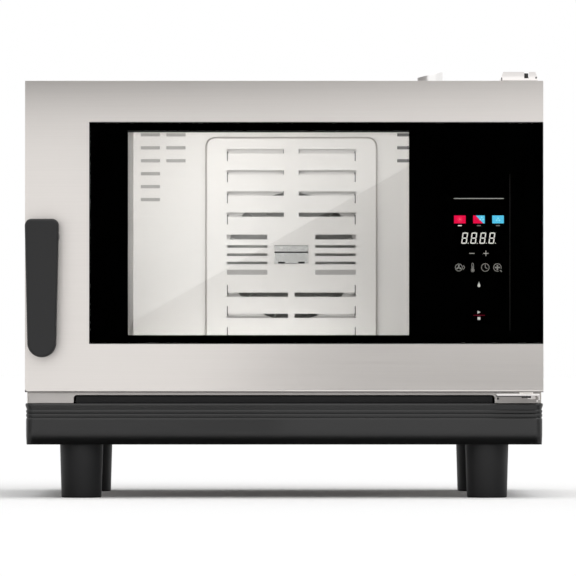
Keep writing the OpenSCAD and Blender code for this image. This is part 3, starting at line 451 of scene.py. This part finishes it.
steel_tone = (0.74, 0.704, 0.674)
steel_across = finish("brushed_steel_across", steel_tone, 0.035, (0.27, 0.36), (5, 900, 900), 0.000004,
                      {"Metallic": 1})
steel_along = finish("brushed_steel_along", steel_tone, 0.035, (0.27, 0.36), (900, 5, 900), 0.000004,
                     {"Metallic": 1})
for name in ("left_side_panel", "right_side_panel"):
    eased(name, steel_along, 0.0006, 3)
for name in ("top_panel", "rear_panel", "base_pan"):
    eased(name, steel_across, 0.0005, 3)
# The front frame and the hinge apron get a darker copy of the steel: painted shade for the shadow of the door
# and of the bracket's leaf above them.
frame_steel = finish("painted_shade_frame_steel", (0.42, 0.40, 0.385), 0.04, (0.34, 0.42), (5, 900, 900), 0.000004,
                     {"Metallic": 1})
eased("front_frame", frame_steel, 0.0005, 3)

# Drip tray: a shallow black plastic drawer, moulded in one piece, for what drips off the door.
# It slides out forwards through the slot under the door.
tray_plastic = finish("tray_plastic", (0.008, 0.008, 0.0085), 0.12, (0.45, 0.55), (900, 900, 900), 0.00001,
                      {"Specular IOR Level": 0.2})
eased("drip_tray", tray_plastic, 0.0004, 3)

# Cavity: a welded box of satin stainless steel with hanging tray racks, a sieve over the drain
# and a temperature probe through its right wall.
cavity_steel = finish("satin_cavity_steel", (0.89, 0.865, 0.84), 0.03, (0.42, 0.5), (6, 500, 500), 0.000003,
                      {"Metallic": 1})
rack_wire = finish("polished_rack_wire", (0.80, 0.795, 0.78), 0.04, (0.16, 0.24), (300, 300, 300),
                   constants={"Metallic": 1})
eased("cavity_liner", cavity_steel, 0.0004, 2)
for name in ("left_tray_rack", "right_tray_rack", "drain_strainer", "cavity_probe", "baffle_studs"):
    eased(name, rack_wire, 0.0002, 2)


# Cavity lamps: soft strips just inside the mouth, at its sides, top and foot and one left of the middle.
# They stand for the door's own lamp.
def strip_lamp(name, place, size, turn, power):
    """Flat lamp of a size in metres that no straight look shows."""
    light = bpy.data.lights.new(name, "AREA")
    light.shape = "RECTANGLE"
    light.size, light.size_y = size
    light.energy = power
    lamp = bpy.data.objects.new(name, light)
    lamp.location = place
    lamp.rotation_euler = [math.radians(angle) for angle in turn]
    lamp.visible_camera = False
    lamp.visible_transmission = False
    scene.collection.objects.link(lamp)
    return lamp


liner_low, liner_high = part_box("cavity_liner")
lamp_y = liner_low.y + 0.04
liner_middle = (liner_low + liner_high) / 2
strip_lamp("right_lamp", (liner_high.x - 0.06, lamp_y, liner_middle.z), (0.05, 0.3), (90, 0, 20), 0.105)
strip_lamp("left_lamp", (liner_low.x + 0.02, lamp_y, liner_middle.z + 0.06), (0.02, 0.2), (90, 0, -20), 0.06)
strip_lamp("main_lamp", (liner_middle.x - 0.115, lamp_y, liner_middle.z + 0.07), (0.12, 0.2), (90, 0, 0),
           0.08)
strip_lamp("top_lamp", (liner_middle.x, lamp_y, liner_high.z - 0.015), (0.5, 0.02), (75, 0, 0), 0.15)
strip_lamp("low_lamp", (liner_middle.x - 0.07, lamp_y, liner_low.z + 0.03), (0.36, 0.04), (105, 0, 0), 0.24)

# Air guide: a flat baffle with slots in its upper corners and a round inlet that sits a little low, and over
# the inlet a raised louvred cover with a round to its pressed edge, held by a quick-release catch.
guard_low, guard_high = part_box("fan_guard")
guard_sheet = 0.0015
guard_round = 0.003
level_near = 0.0002
wall_depth = 0.005
bm = copy_of("fan_guard")
for depth, width in ((guard_sheet, guard_round - guard_sheet), (0, guard_round)):
    rim = []
    for edge in hard_edges(bm, 30):
        level = all(abs(vert.co.y - guard_low.y - depth) < level_near for vert in edge.verts)
        deepest = max(vert.co.y for face in edge.link_faces for vert in face.verts)
        if level and deepest > guard_low.y + depth + wall_depth:
            rim.append(edge)
    bevel(bm, rim, width, 6)
piece("pressed_guard", bm, cavity_steel, "cabinet", slot_of["fan_guard"], "fan_guard")
baffle = eased("air_baffle", cavity_steel, 0.0003, 2)
baffle_low, baffle_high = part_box("air_baffle")
inlet = (baffle_low + baffle_high) / 2
inlet_reach = 0.11
inlet_share = 0.987
inlet_drop = Vector((0, 0, 0.004))
for vert in baffle.data.vertices:
    away = Vector((vert.co.x - inlet.x, 0, vert.co.z - inlet.z))
    if away.length < inlet_reach:
        vert.co += away * (inlet_share - 1) - inlet_drop


# Louvre backs: flat steel strips behind the cover's rows, dark in the short slits at the rows' ends and at
# their inner ends as painted shade, and pale in the lowest side rows as painted light; and guide sheets
# behind the baffle's slots, the left one pale as painted light and the right one dark as painted shade.
def slabs(places, near, far):
    """Flat bars between two depths, by their middle (X, Z), width and height in metres."""
    edge_round = 0.0002
    bm = bmesh.new()
    for x, z, width, height in places:
        slab = bmesh.ops.create_cube(bm, size=1)["verts"]
        bmesh.ops.scale(bm, verts=slab, vec=(width, far - near, height))
        bmesh.ops.translate(bm, verts=slab, vec=(x, (near + far) / 2, z))
    bevel(bm, bm.edges[:], edge_round, 2)
    return bm


catch_low, catch_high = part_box("guard_catch")
catch_middle = (catch_low + catch_high) / 2
row_first = 0.0617
row_pitch = ((guard_high.z - guard_low.z) / 2 - 0.0206 - row_first) / 3
slit_x = 0.0986
slit_w = 0.003
slit_l = 0.015
inner_x = 0.0117
inner_w = 0.0014
row_t = 0.0066
slit_shades = []
for side in (-1, 1):
    for row in range(4):
        out = row_first + row * row_pitch
        for level in (out - slit_l / 2, slit_l / 2 - out):
            slit_shades.append((catch_middle.x + side * slit_x, catch_middle.z + level, slit_w, slit_l))
        slit_shades.append((catch_middle.x + side * inner_x, catch_middle.z + out, inner_w, row_t))
# shaded_steel and lit_steel are a darker and a paler copy of one steel: painted shade and painted light.
shaded_steel = finish("shaded_steel", (0.20, 0.195, 0.19), 0.1, (0.5, 0.6), (300, 300, 300),
                      constants={"Metallic": 1})
lit_steel = finish("lit_steel", (0.52, 0.505, 0.49), 0.05, (0.45, 0.55), (300, 300, 300),
                   constants={"Metallic": 1})
back_near = guard_low.y + guard_sheet
back_far = back_near + 0.0012
piece("louvre_slit_shade", slabs(slit_shades, back_near, back_far), shaded_steel, "cabinet", slot_of["fan_guard"])
lowest_row = catch_middle.z - 0.0271
back_x = 0.0682
back_w = 0.066
back_h = 0.011
backs = [(catch_middle.x + side * back_x, lowest_row, back_w, back_h) for side in (-1, 1)]
piece("louvre_backs", slabs(backs, back_near, back_far), lit_steel, "cabinet", slot_of["fan_guard"])
# Guide sheets: the left one painted light, the right one painted shade.
guide_w = 0.085
guide_h = 0.112
guide_z = baffle_high.z - 0.001 - guide_h / 2
guide_in = 0.010 + guide_w / 2
guide_near = baffle_high.y + 0.0004
guide_far = baffle_high.y + 0.0014
for name, guide_x, material in (("left_guide", baffle_low.x + guide_in, lit_steel),
                                ("right_guide", baffle_high.x - guide_in, shaded_steel)):
    guide = slabs([(guide_x, guide_z, guide_w, guide_h)], guide_near, guide_far)
    piece(name, guide, material, "cabinet", slot_of["air_baffle"])

# Catch: a sprung steel plate with two finger tabs; dark strips along its fold, its top and its foot and two
# dark notches below are painted shade in its gaps. It sits in the middle of the louvred cover and holds it to
# the baffle.
tab_out = 0.006
plate_front = catch_low.y + tab_out
plate_w = catch_high.x - catch_low.x
plate_h = catch_high.z - catch_low.z
tab_x = 0.0135
tab_z = catch_middle.z + 0.0105
tab_w = 0.005
tab_h = 0.004
plate = [(catch_middle.x, catch_middle.z, plate_w, plate_h)]
piece("catch_plate", slabs(plate, plate_front, catch_high.y), rack_wire, "cabinet",
      slot_of["guard_catch"], "guard_catch")
tabs = [(catch_middle.x + side * tab_x, tab_z, tab_w, tab_h) for side in (-1, 1)]
piece("catch_tabs", slabs(tabs, catch_low.y, plate_front), rack_wire, "cabinet",
      slot_of["guard_catch"])
# Dark strips in front of the plate: painted shade for the gaps along the fold and in the notches below.
catch_painted_shade = finish("catch_painted_shade", (0.02, 0.02, 0.02), 0.2, (0.6, 0.7), (500, 500, 500), 0.00001)
notch_z = -0.0124
notch_w = 0.0105
notch_h = 0.003
line_half = 0.0003
lines = [(0, 0.0036, plate_w, 0.0022), (0, 0.0137, plate_w, 0.0006), (0, -0.0136, 0.018, 0.0007),
         (-0.015, notch_z, notch_w, notch_h), (0.0155, notch_z, notch_w, notch_h)]
lines = [(catch_middle.x + x, catch_middle.z + z, width, height) for x, z, width, height in lines]
piece("catch_shade_lines", slabs(lines, plate_front - line_half, plate_front + line_half), catch_painted_shade, "cabinet",
      slot_of["guard_catch"])

# Fan and heater behind the baffle: a bladed wheel on the motor's shaft, heat-tinted heating rings round it
# and a thin water pipe that sprays into the stream.
wheel_steel = finish("wheel_steel", (0.62, 0.61, 0.59), 0.06, (0.3, 0.42), (200, 200, 200),
                     constants={"Metallic": 1})
heater_metal = finish("heat_tinted_tube", (0.24, 0.20, 0.17), 0.35, (0.35, 0.5), (60, 60, 60),
                      constants={"Metallic": 1})
for name in ("fan_wheel", "fan_nut", "motor_shaft", "steam_injector"):
    eased(name, wheel_steel, 0.0002, 2)
eased("heating_element", heater_metal, 0.0002, 2)


# Machine space: mineral wool round the cavity, the fan motor behind it, and the power electronics
# on a steel carrier at the right. Nothing of it shows from outside but through the back wall's grille.
def carry(material, *names):
    """Gives frame nodes that keep their own shape their finish."""
    for name in names:
        nodes[name].data.materials.clear()
        nodes[name].data.materials.append(material)


wool = finish("mineral_wool", (0.62, 0.55, 0.32), 0.3, (0.9, 1), (260, 260, 40), 0.0008)
motor_paint = finish("motor_paint", (0.06, 0.06, 0.065), 0.1, (0.4, 0.5), (600, 600, 600), 0.00002)
zinc = finish("zinc_plate", (0.62, 0.63, 0.65), 0.08, (0.3, 0.45), (35, 35, 35), constants={"Metallic": 1})
circuit = finish("green_circuit", (0.02, 0.16, 0.07), 0.35, (0.3, 0.45), (250, 250, 250))
pale_plastic = finish("pale_plastic", (0.72, 0.72, 0.69), 0.05, (0.45, 0.55), (700, 700, 700), 0.00001)
carry(wool, "insulation")
carry(zinc, "electronics_plate", "leg_nuts")
carry(circuit, "power_board", "control_board")
eased("fan_motor", motor_paint, 0.0006, 3)
eased("contactor", pale_plastic, 0.0008, 3)
for name in ("cooling_fan_housing", "cooling_fan_rotor"):
    eased(name, black_plastic, 0.0003, 2)

# Rear connections: a white solenoid valve with its hose thread, a black cable gland and the grey drain pipe,
# all through the back wall and the skirt.
pipe_plastic = finish("grey_pipe_plastic", (0.13, 0.13, 0.135), 0.08, (0.4, 0.5), (500, 500, 500), 0.00001)
eased("water_inlet_valve", pale_plastic, 0.0005, 3)
eased("cable_gland", black_plastic, 0.0006, 3)
for name in ("drain_stub", "drain_duct", "drain_pipe"):
    eased(name, pipe_plastic, 0.0005, 3)

# Flue: a stub of polished steel tube through the roof, cut at a slant so that it drains to one side.
# It mirrors two small studio cards, a light one in front and a dim one at its left.
polished = finish("polished_steel", (0.86, 0.85, 0.84), 0.04, (0.26, 0.34), (120, 120, 120),
                  constants={"Metallic": 1})
eased("exhaust_flue", polished, 0.0004, 3)
flue_low, flue_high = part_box("exhaust_flue")
flue_x = (flue_low.x + flue_high.x) / 2
flue_y = (flue_low.y + flue_high.y) / 2
card_low = flue_high.z - 0.017
card_high = flue_high.z + 0.008
flue_front = flue_low.y - 0.015
light_left = flue_x - 0.015
light_right = flue_x + 0.045
flue_side = flue_low.x - 0.008
shade_near = flue_y - 0.074
shade_far = flue_y + 0.015
reflected("flue_light", upright(light_left, light_right, flue_front, card_low, card_high),
          lamp_finish("flue_glow", (1, 1, 1), 1.05))
reflected("flue_shade", sideways(flue_side, shade_near, shade_far, card_low, card_high),
          lamp_finish("flue_dim", (1, 0.97, 0.95), 0.28))

# Hinges and latch: folded steel brackets on the roof and on the lower strip, with blackened pins in pale
# nylon bushes. The latch, the screws and the pane's clips are zinc-plated steel. The upper bracket's front
# wing has dark ends, which are painted shade at its folds, and mirrors two small studio cards, the lighter
# one below its fold.
nylon = finish("bush_nylon", (0.70, 0.69, 0.66), 0.05, (0.4, 0.5), (300, 300, 300))
# This blackened steel serves the pins and also the dark marks of painted shade: the wing's fold ends and the
# apron's shadow line.
pin_and_shade_black = finish("blackened_steel_pins_and_painted_shade", (0.02, 0.02, 0.02), 0.15, (0.4, 0.5), (400, 400, 400))
hinge_steel = finish("pale_hinge_steel", (0.88, 0.85, 0.83), 0.04, (0.4, 0.48), (8, 700, 700), 0.000003,
                     {"Metallic": 1})
for name in ("top_hinge_bracket", "bottom_hinge_bracket"):
    eased(name, hinge_steel, 0.0006, 4)
for name in ("latch_strike", "latch_pawl", "handle_spindle", "casing_screws", "glass_clips"):
    eased(name, zinc, 0.0003, 3)
eased("hinge_pins", pin_and_shade_black, 0.0003, 3)
eased("hinge_bushes", nylon, 0.0003, 2)
wing_low, wing_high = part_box("top_hinge_bracket")
wing_fold = wing_low.z + 0.0095
shine_y = wing_low.y - 0.0055
shine_top = 0.65
shine_left = wing_low.x - 0.01
shine_right = wing_high.x + 0.01
for name, foot, top, glow in (("wing_light", door_high.z, wing_fold, 1.05),
                              ("wing_shade", wing_fold, shine_top, 0.72)):
    reflected(name, upright(shine_left, shine_right, shine_y, foot, top),
              lamp_finish(name + "_glow", (1, 1, 1), glow))
# Dark marks of painted shade at the wing's folded ends.
ends = [(wing_low.x + 0.0012, wing_low.z + 0.0055, 0.0014, 0.0042),
        (wing_high.x - 0.0024, wing_low.z + 0.0075, 0.0022, 0.0026)]
end_t = 0.0004
piece("wing_fold_shade", slabs(ends, wing_low.y - end_t, wing_low.y), pin_and_shade_black, "cabinet",
      slot_of["top_hinge_bracket"])

# Lower bracket's apron: a steel strip under the bracket's leaf, painted darker as shade under the leaf, with
# a dark line of painted shadow along its top, a screw head at its left and the leaf's pale folded end at its
# right.
leaf_low, leaf_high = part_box("bottom_hinge_bracket")
leaf_t = 0.003
apron_t = 0.0006
apron_near = leaf_high.y - 0.0036
apron_left = leaf_low.x + 0.0005
apron_right = leaf_high.x - 0.0025
apron_top = leaf_high.z - leaf_t - 0.0002
apron_foot = skirt_high.z + 0.0003
apron = [((apron_left + apron_right) / 2, (apron_foot + apron_top) / 2, apron_right - apron_left,
          apron_top - apron_foot)]
piece("hinge_apron", slabs(apron, apron_near, apron_near + apron_t), frame_steel, "cabinet",
      slot_of["bottom_hinge_bracket"])
# A dark line of painted shadow under the leaf, and the screw head.
shadow_line_l = 0.045
shadow_line_h = 0.0014
shadow_line_out = 0.0005
head_r = 0.0016
head_in = 0.0012
head_drop = 0.0038
joint = [(apron_left + shadow_line_l / 2, apron_top - shadow_line_h / 2, shadow_line_l, shadow_line_h),
         (apron_left + head_r + head_in, apron_top - head_drop, 2 * head_r, 2 * head_r)]
piece("apron_shadow_line_and_screw", slabs(joint, apron_near - shadow_line_out, apron_near), pin_and_shade_black, "cabinet",
      slot_of["bottom_hinge_bracket"])
end_w = 0.012
end_h = 0.0045
end_in = 0.001
end_out = 0.0007
leaf_end = [(apron_right - end_in - end_w / 2, apron_top - end_h / 2, end_w, end_h)]
piece("leaf_end", slabs(leaf_end, apron_near - end_out, apron_near), hinge_steel, "cabinet",
      slot_of["bottom_hinge_bracket"])

# Door seal: a soft dark ring of extruded silicone, pushed onto the front frame round the cavity's mouth.
# The door's inner pane presses on it.
silicone = finish("seal_silicone", (0.03, 0.03, 0.03), 0.1, (0.6, 0.7), (500, 500, 500), 0.00002)
eased("door_gasket", silicone, 0.003, 4)

# Door skin: one folded sheet of the same brushed steel, with a stepped opening for the glass, which runs
# out to the right edge. A steel pan closes it at the back.
eased("door_skin", steel_across, 0.0004, 3, rim=0.001, foot=0.003)
eased("door_inner_pan", steel_across, 0.0003, 2)

# Door panes: a flush outer pane and a clear inner pane of tempered glass, the inner one held by clips.
# A lamp strip stands beside the window, and the display's black housing behind the outer pane.
clear_glass = finish("tempered_glass", (0.994, 0.997, 0.993), 0.003, (0.0, 0.006), (6, 6, 6),
                     constants={"Transmission Weight": 1, "IOR": 1.5})
for name in ("outer_glass", "inner_glass"):
    eased(name, clear_glass, 0.0005, 3)
eased("lamp_strip", lamp_finish("lamp_strip_glow", (1, 0.97, 0.9), 1.5), 0.0005, 3)
eased("display_module", black_plastic, 0.0005, 3)

# Glass joint: a thin black bead of sealant in the gap between the flush pane and the steel round it.
# It runs along three sides, since the pane reaches out to the door's right edge, and is drawn as a flat strip
# with a front and a back, a little behind the pane's face.
joint_back = 0.001
joint_gap = 0.0008
opening_low = Vector((glass_low.x - joint_gap, 0, glass_low.z - joint_gap))
opening_high = Vector((glass_high.x, 0, glass_high.z + joint_gap))
bm = bmesh.new()
joint_outside = [(opening_high.x, opening_low.z), (opening_low.x, opening_low.z),
                 (opening_low.x, opening_high.z), (opening_high.x, opening_high.z)]
joint_inside = [(glass_high.x, glass_low.z), (glass_low.x, glass_low.z),
                (glass_low.x, glass_high.z), (glass_high.x, glass_high.z)]
outer_line = [bm.verts.new((x, glass_low.y + joint_back, z)) for x, z in joint_outside]
inner_line = [bm.verts.new((x, glass_low.y + joint_back, z)) for x, z in joint_inside]
for i in range(3):
    bm.faces.new((outer_line[i], outer_line[i + 1], inner_line[i + 1], inner_line[i]))
bmesh.ops.solidify(bm, geom=bm.faces[:], thickness=0)
bmesh.ops.recalc_face_normals(bm, faces=bm.faces)
bead = finish("black_bead", (0.002, 0.002, 0.002), 0.2, (0.5, 0.6), (500, 500, 500),
              constants={"Specular IOR Level": 0.1})
piece("glass_joint", bm, bead, "door", slot_of["door_gasket"])

# Black border: ceramic print on the back of the outer pane, open at the window.
# It is drawn a little behind the pane, so the panel's signs lie between the two.
mask_low, mask_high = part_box("glass_mask")
sign_room = 0.00015
black_print = finish("black_print", (0.0005, 0.0005, 0.0005), 0.3, (0.5, 0.6), (900, 900, 900),
                     constants={"Specular IOR Level": 0})
bm = bmesh.new()
mask_corners = [(mask_low.x, mask_low.z), (mask_high.x, mask_low.z),
                (mask_high.x, mask_high.z), (mask_low.x, mask_high.z)]
bm.faces.new([bm.verts.new((x, mask_low.y + sign_room, z)) for x, z in mask_corners])
for corner in (window_low, window_high):
    for across in ((1, 0, 0), (0, 0, 1)):
        everything = bm.verts[:] + bm.edges[:] + bm.faces[:]
        bmesh.ops.bisect_plane(bm, geom=everything, plane_co=corner, plane_no=across)
window_middle = (window_low + window_high) / 2
opening = min(bm.faces, key=lambda face: (face.calc_center_median().xz - window_middle.xz).length)
bmesh.ops.delete(bm, geom=[opening], context="FACES_ONLY")
bmesh.ops.solidify(bm, geom=bm.faces[:], thickness=mask_high.y - mask_low.y - sign_room)
bmesh.ops.recalc_face_normals(bm, faces=bm.faces)
piece("black_border", bm, black_print, "door", slot_of["glass_mask"], "glass_mask")

# Touch panel: lit signs behind the glass. Three mode keys with pale marks and lamps below them, a four-digit
# display, minus and plus, a row of icons for fan, heat, time and turning, and a drop, a start and a stop sign
# further down.
sign_y = glass_high.y + 0.00002
panel_x = door_high.x - 0.0944


def sign(name, shapes, colour, strength, level=sign_y):
    """Lit sign, a flat print with a front and a back, from outlines of points (X from the panel's middle,
    Z from the floor) in millimetres."""
    bm = bmesh.new()
    for points in shapes:
        bm.faces.new([bm.verts.new((panel_x + x / 1000, level, z / 1000)) for x, z in points])
    bmesh.ops.solidify(bm, geom=bm.faces[:], thickness=0)
    bmesh.ops.recalc_face_normals(bm, faces=bm.faces)
    return piece(name, bm, lamp_finish(name + "_glow", colour, strength), "door", slot_of["display_module"])


def bar(x, z, width, height, lean=0.0):
    """Upright rectangle, or one that leans to the right by a share of its height."""
    shift = lean * height / 2
    return [(x - width / 2 - shift, z - height / 2), (x + width / 2 - shift, z - height / 2),
            (x + width / 2 + shift, z + height / 2), (x - width / 2 + shift, z + height / 2)]


def stroke(start, end, width):
    """Straight line of a width between two points."""
    along = (Vector(end) - Vector(start)).normalized()
    side = Vector((-along.y, along.x)) * width / 2
    return [tuple(Vector(start) - side), tuple(Vector(end) - side), tuple(Vector(end) + side),
            tuple(Vector(start) + side)]


def arc(x, z, radius, width, first=0, last=360, steps=24):
    """Ring or part of a ring, in degrees from the right and anticlockwise, as a row of small outlines."""
    turns = [math.radians(first + (last - first) * step / steps) for step in range(steps + 1)]
    out = [(x + radius * math.cos(turn), z + radius * math.sin(turn)) for turn in turns]
    inner = radius - width
    inside = [(x + inner * math.cos(turn), z + inner * math.sin(turn)) for turn in turns]
    return [[out[i], out[i + 1], inside[i + 1], inside[i]] for i in range(steps)]


def disc(x, z, radius, steps=20):
    """Round spot."""
    return [(x + radius * math.cos(math.tau * step / steps), z + radius * math.sin(math.tau * step / steps))
            for step in range(steps)]


def blades(x, z, radius, count):
    """Fan blades as short thick strokes from a hub."""
    ends = [math.radians(90 + 360 * i / count) for i in range(count)]
    return [stroke((x + 0.25 * radius * math.cos(end), z + 0.25 * radius * math.sin(end)),
                   (x + radius * math.cos(end), z + radius * math.sin(end)), 0.55 * radius) for end in ends]


white_ink = (0.80, 0.79, 0.74)
grey_ink = (0.42, 0.42, 0.40)
red_ink = (0.78, 0.005, 0.06)
blue_ink = (0.09, 0.55, 0.80)
line_x = -0.3
line_z = 440.7
line_l = 73.2
line_t = 0.8
sign("panel_line", [bar(line_x, line_z, line_l, line_t)], grey_ink, 1.2)
key_z = 410
key_w = 17
key_h = 11.6
key_x = 28
split_top = -4.7
split_foot = 6.3
key_left = -key_w / 2
key_right = key_w / 2
key_foot = key_z - key_h / 2
key_top = key_z + key_h / 2
sign("heat_key", [bar(-key_x, key_z, key_w, key_h),
                  [(key_left, key_foot), (split_foot, key_foot), (split_top, key_top), (key_left, key_top)]],
     red_ink, 1)
sign("steam_key", [bar(key_x, key_z, key_w, key_h),
                   [(split_foot, key_foot), (key_right, key_foot), (key_right, key_top),
                    (split_top, key_top)]], blue_ink, 1)


def rays(x, z, spot_r=1.6, near=2.3, far=3.7, width=0.8, count=8):
    """Small sun: a spot with short rays round it."""
    turns = [math.tau * i / count for i in range(count)]
    return [disc(x, z, spot_r, 12)] + [stroke((x + near * math.cos(turn), z + near * math.sin(turn)),
                                              (x + far * math.cos(turn), z + far * math.sin(turn)), width)
                                       for turn in turns]


def drops(x, z, spot_r=1.4, apart=2, up=1.7, down=1.3):
    """Three small spots of steam, one above two."""
    return [disc(x, z + up, spot_r, 12), disc(x - apart, z - down, spot_r, 12),
            disc(x + apart, z - down, spot_r, 12)]


mark_y = glass_high.y + 0.000008
sign("heat_marks", rays(-key_x, key_z), (1, 0.09, 0.17), 1, mark_y)
sign("steam_marks", drops(key_x, key_z) + drops(4, key_z + 1.2), (0.25, 0.75, 0.9), 1, mark_y)
lamp_z = 400.9
lamp_w = 5.6
lamp_h = 1.4
sign("key_lamp_on", [bar(-key_x, lamp_z, lamp_w, lamp_h)], white_ink, 1)
sign("key_lamps_off", [bar(0, lamp_z, lamp_w, lamp_h), bar(key_x, lamp_z, lamp_w, lamp_h)], grey_ink, 0.35)

# Display: four slanted seven-segment eights with their points, all lit, which shine through the print
# between the mode keys and the setting keys.
digit_z = 382.6
digit_h = 16.5
digit_w = 8.2
digit_pitch = 13.3
digit_lean = 0.14
segment_t = 1.55
segment_gap = 0.35
point_r = 0.7
point_out = 1
display_left = 1
half = digit_h / 2
segments = []
for i in range(4):
    middle = (i - 1.5) * digit_pitch - display_left
    for level in (-1, 0, 1):
        z = level * (half - segment_t / 2)
        segments.append(bar(middle + digit_lean * z, digit_z + z, digit_w - 2 * segment_t, segment_t,
                            digit_lean))
    for side in (-1, 1):
        for level in (-1, 1):
            z = level * half / 2
            tall = half - segment_t / 2 - segment_gap
            x = middle + side * (digit_w - segment_t) / 2 + digit_lean * z
            segments.append(bar(x, digit_z + z, segment_t, tall, digit_lean))
    segments.append(disc(middle + digit_w / 2 + point_out, digit_z - half + point_r, point_r))
sign("display_digits", segments, white_ink, 0.9)

# Setting keys and icons: thin signs printed on the back of the pane and lit from behind, the row of icons
# least, with a faint upright line along the panel's right side.
thin = 0.9
set_z = 360.2
set_l = 7.8
minus_x = -10.3
plus_x = 10.2
arm_z = 2.2
arm_l = 3.5
sign("minus_plus", [bar(minus_x, set_z, set_l, thin), bar(plus_x, set_z, set_l, thin),
                    bar(plus_x, set_z + arm_z, thin, arm_l), bar(plus_x, set_z - arm_z, thin, arm_l)],
     white_ink, 0.5)
icon_glow = 0.28
icon_z = 339.5
fan_x, heat_x, time_x, turn_x = -29.5, -9.2, 9.3, 27
arrow_x = fan_x + 6.6
arrow_tip = (fan_x + 8.6, icon_z)
sign("fan_icon", [*arc(fan_x, icon_z, 5.6, thin), *blades(fan_x, icon_z, 3.9, 3), disc(fan_x, icon_z, 0.9),
                  stroke((arrow_x, icon_z + 3), arrow_tip, thin),
                  stroke((arrow_x, icon_z - 3), arrow_tip, thin)], white_ink, icon_glow)
tube_t = 0.8
tube_x = 1.2
bulb_z = icon_z - 4.2
sign("heat_icon", [*arc(heat_x, icon_z + 5, 1.6, tube_t, 0, 180, 10),
                   bar(heat_x - tube_x, icon_z + 1, tube_t, 8), bar(heat_x + tube_x, icon_z + 1, tube_t, 8),
                   *arc(heat_x, bulb_z, 2.6, tube_t), disc(heat_x, bulb_z, 1.3),
                   bar(heat_x, icon_z - 0.5, 0.7, 5)], white_ink, icon_glow)
hand_t = 1
sign("time_icon", [*arc(time_x, icon_z, 6.1, thin), stroke((time_x, icon_z), (time_x, icon_z + 4.4), hand_t),
                   stroke((time_x, icon_z), (time_x + 3, icon_z - 1.6), hand_t)], white_ink, icon_glow)
sign("turn_icon", [*arc(turn_x, icon_z, 6, thin, -20, 290), *blades(turn_x, icon_z, 3.8, 4),
                   disc(turn_x, icon_z, 1),
                   stroke((turn_x + 4, icon_z - 4), (turn_x + 6.4, icon_z - 6.2), 1.4)], white_ink, icon_glow)
low_glow = 0.7
drop_z = 313.7
drop_r = 2.1
drop_peak = 4.2
drop_waist = drop_z - 1
drop = disc(0, drop_waist, drop_r, 24)
drop = [(x, z + (drop_peak * (1 - abs(x) / drop_r) ** 2 if z > drop_waist else 0)) for x, z in drop]
sign("drop_icon", [drop], white_ink, low_glow)
start_z = 269.4
start_l = 17.2
stop_z = start_z - 4.6
stop_w = 4.2
sign("start_stop", [[(-2.2, start_z + 2.4), (2.4, start_z + 4.6), (-2.2, start_z + 6.8)],
                    bar(0, stop_z, stop_w, stop_w)], white_ink, low_glow)
sign("start_line", [bar(0, start_z, start_l, line_t)], red_ink, 0.2)
edge_x = 45.4
edge_z = 361.8
edge_l = 230
edge_t = 0.7
sign("panel_edge", [bar(edge_x, edge_z, edge_t, edge_l)], (0.02, 0.02, 0.02), 0.8)

# Handle: a moulded lever of dark grey plastic with a soft matte grain, a round lower end and rounded edges.
# Its boss turns on a bush with a round plate.
lever_low, lever_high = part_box("door_handle")
lever_x = (lever_low.x + lever_high.x) / 2
lever_half = (lever_high.x - lever_low.x) / 2
end_half = 0.0205
lever_t = 0.026
corner_r = 0.010
edge_r = 0.005
handle_plastic = finish("handle_plastic", (0.015, 0.015, 0.0155), 0.12, (0.45, 0.55), (1500, 1500, 1500),
                        0.00002, {"Specular IOR Level": 0.3})
bm = bmesh.new()
top_verts = [bm.verts.new((lever_x + side * lever_half, lever_low.y, lever_high.z)) for side in (-1, 1)]
end_verts = [bm.verts.new((lever_x + side * end_half, lever_low.y, lever_low.z)) for side in (1, -1)]
bm.faces.new(top_verts + end_verts)
bevel(bm, end_verts, end_half, 14, "VERTICES")
bevel(bm, [vert for vert in bm.verts if vert.co.z > lever_high.z - 0.0001], corner_r, 7, "VERTICES")
bmesh.ops.remove_doubles(bm, verts=bm.verts, dist=0.00001)
back = bmesh.ops.extrude_face_region(bm, geom=bm.faces[:])["geom"]
bmesh.ops.translate(bm, verts=verts_of(back), vec=(0, lever_t, 0))
bmesh.ops.recalc_face_normals(bm, faces=bm.faces)
bevel(bm, hard_edges(bm, 60), edge_r, 5)
pivot_z = lever_high.z - lever_half
boss_r = 0.022
boss_l = lever_high.y - lever_low.y - lever_t + edge_r
boss_middle = lever_high.y - boss_l / 2
boss = bmesh.ops.create_cone(bm, cap_ends=True, segments=64, radius1=boss_r, radius2=boss_r,
                             depth=boss_l)["verts"]
bmesh.ops.rotate(bm, verts=boss, matrix=Matrix.Rotation(math.radians(90), 3, "X"))
bmesh.ops.translate(bm, verts=boss, vec=(lever_x, boss_middle, pivot_z))
piece("lever_handle", bm, handle_plastic, "handle", slot_of["door_handle"], "door_handle")
eased("handle_bush", handle_plastic, 0.0006, 3)
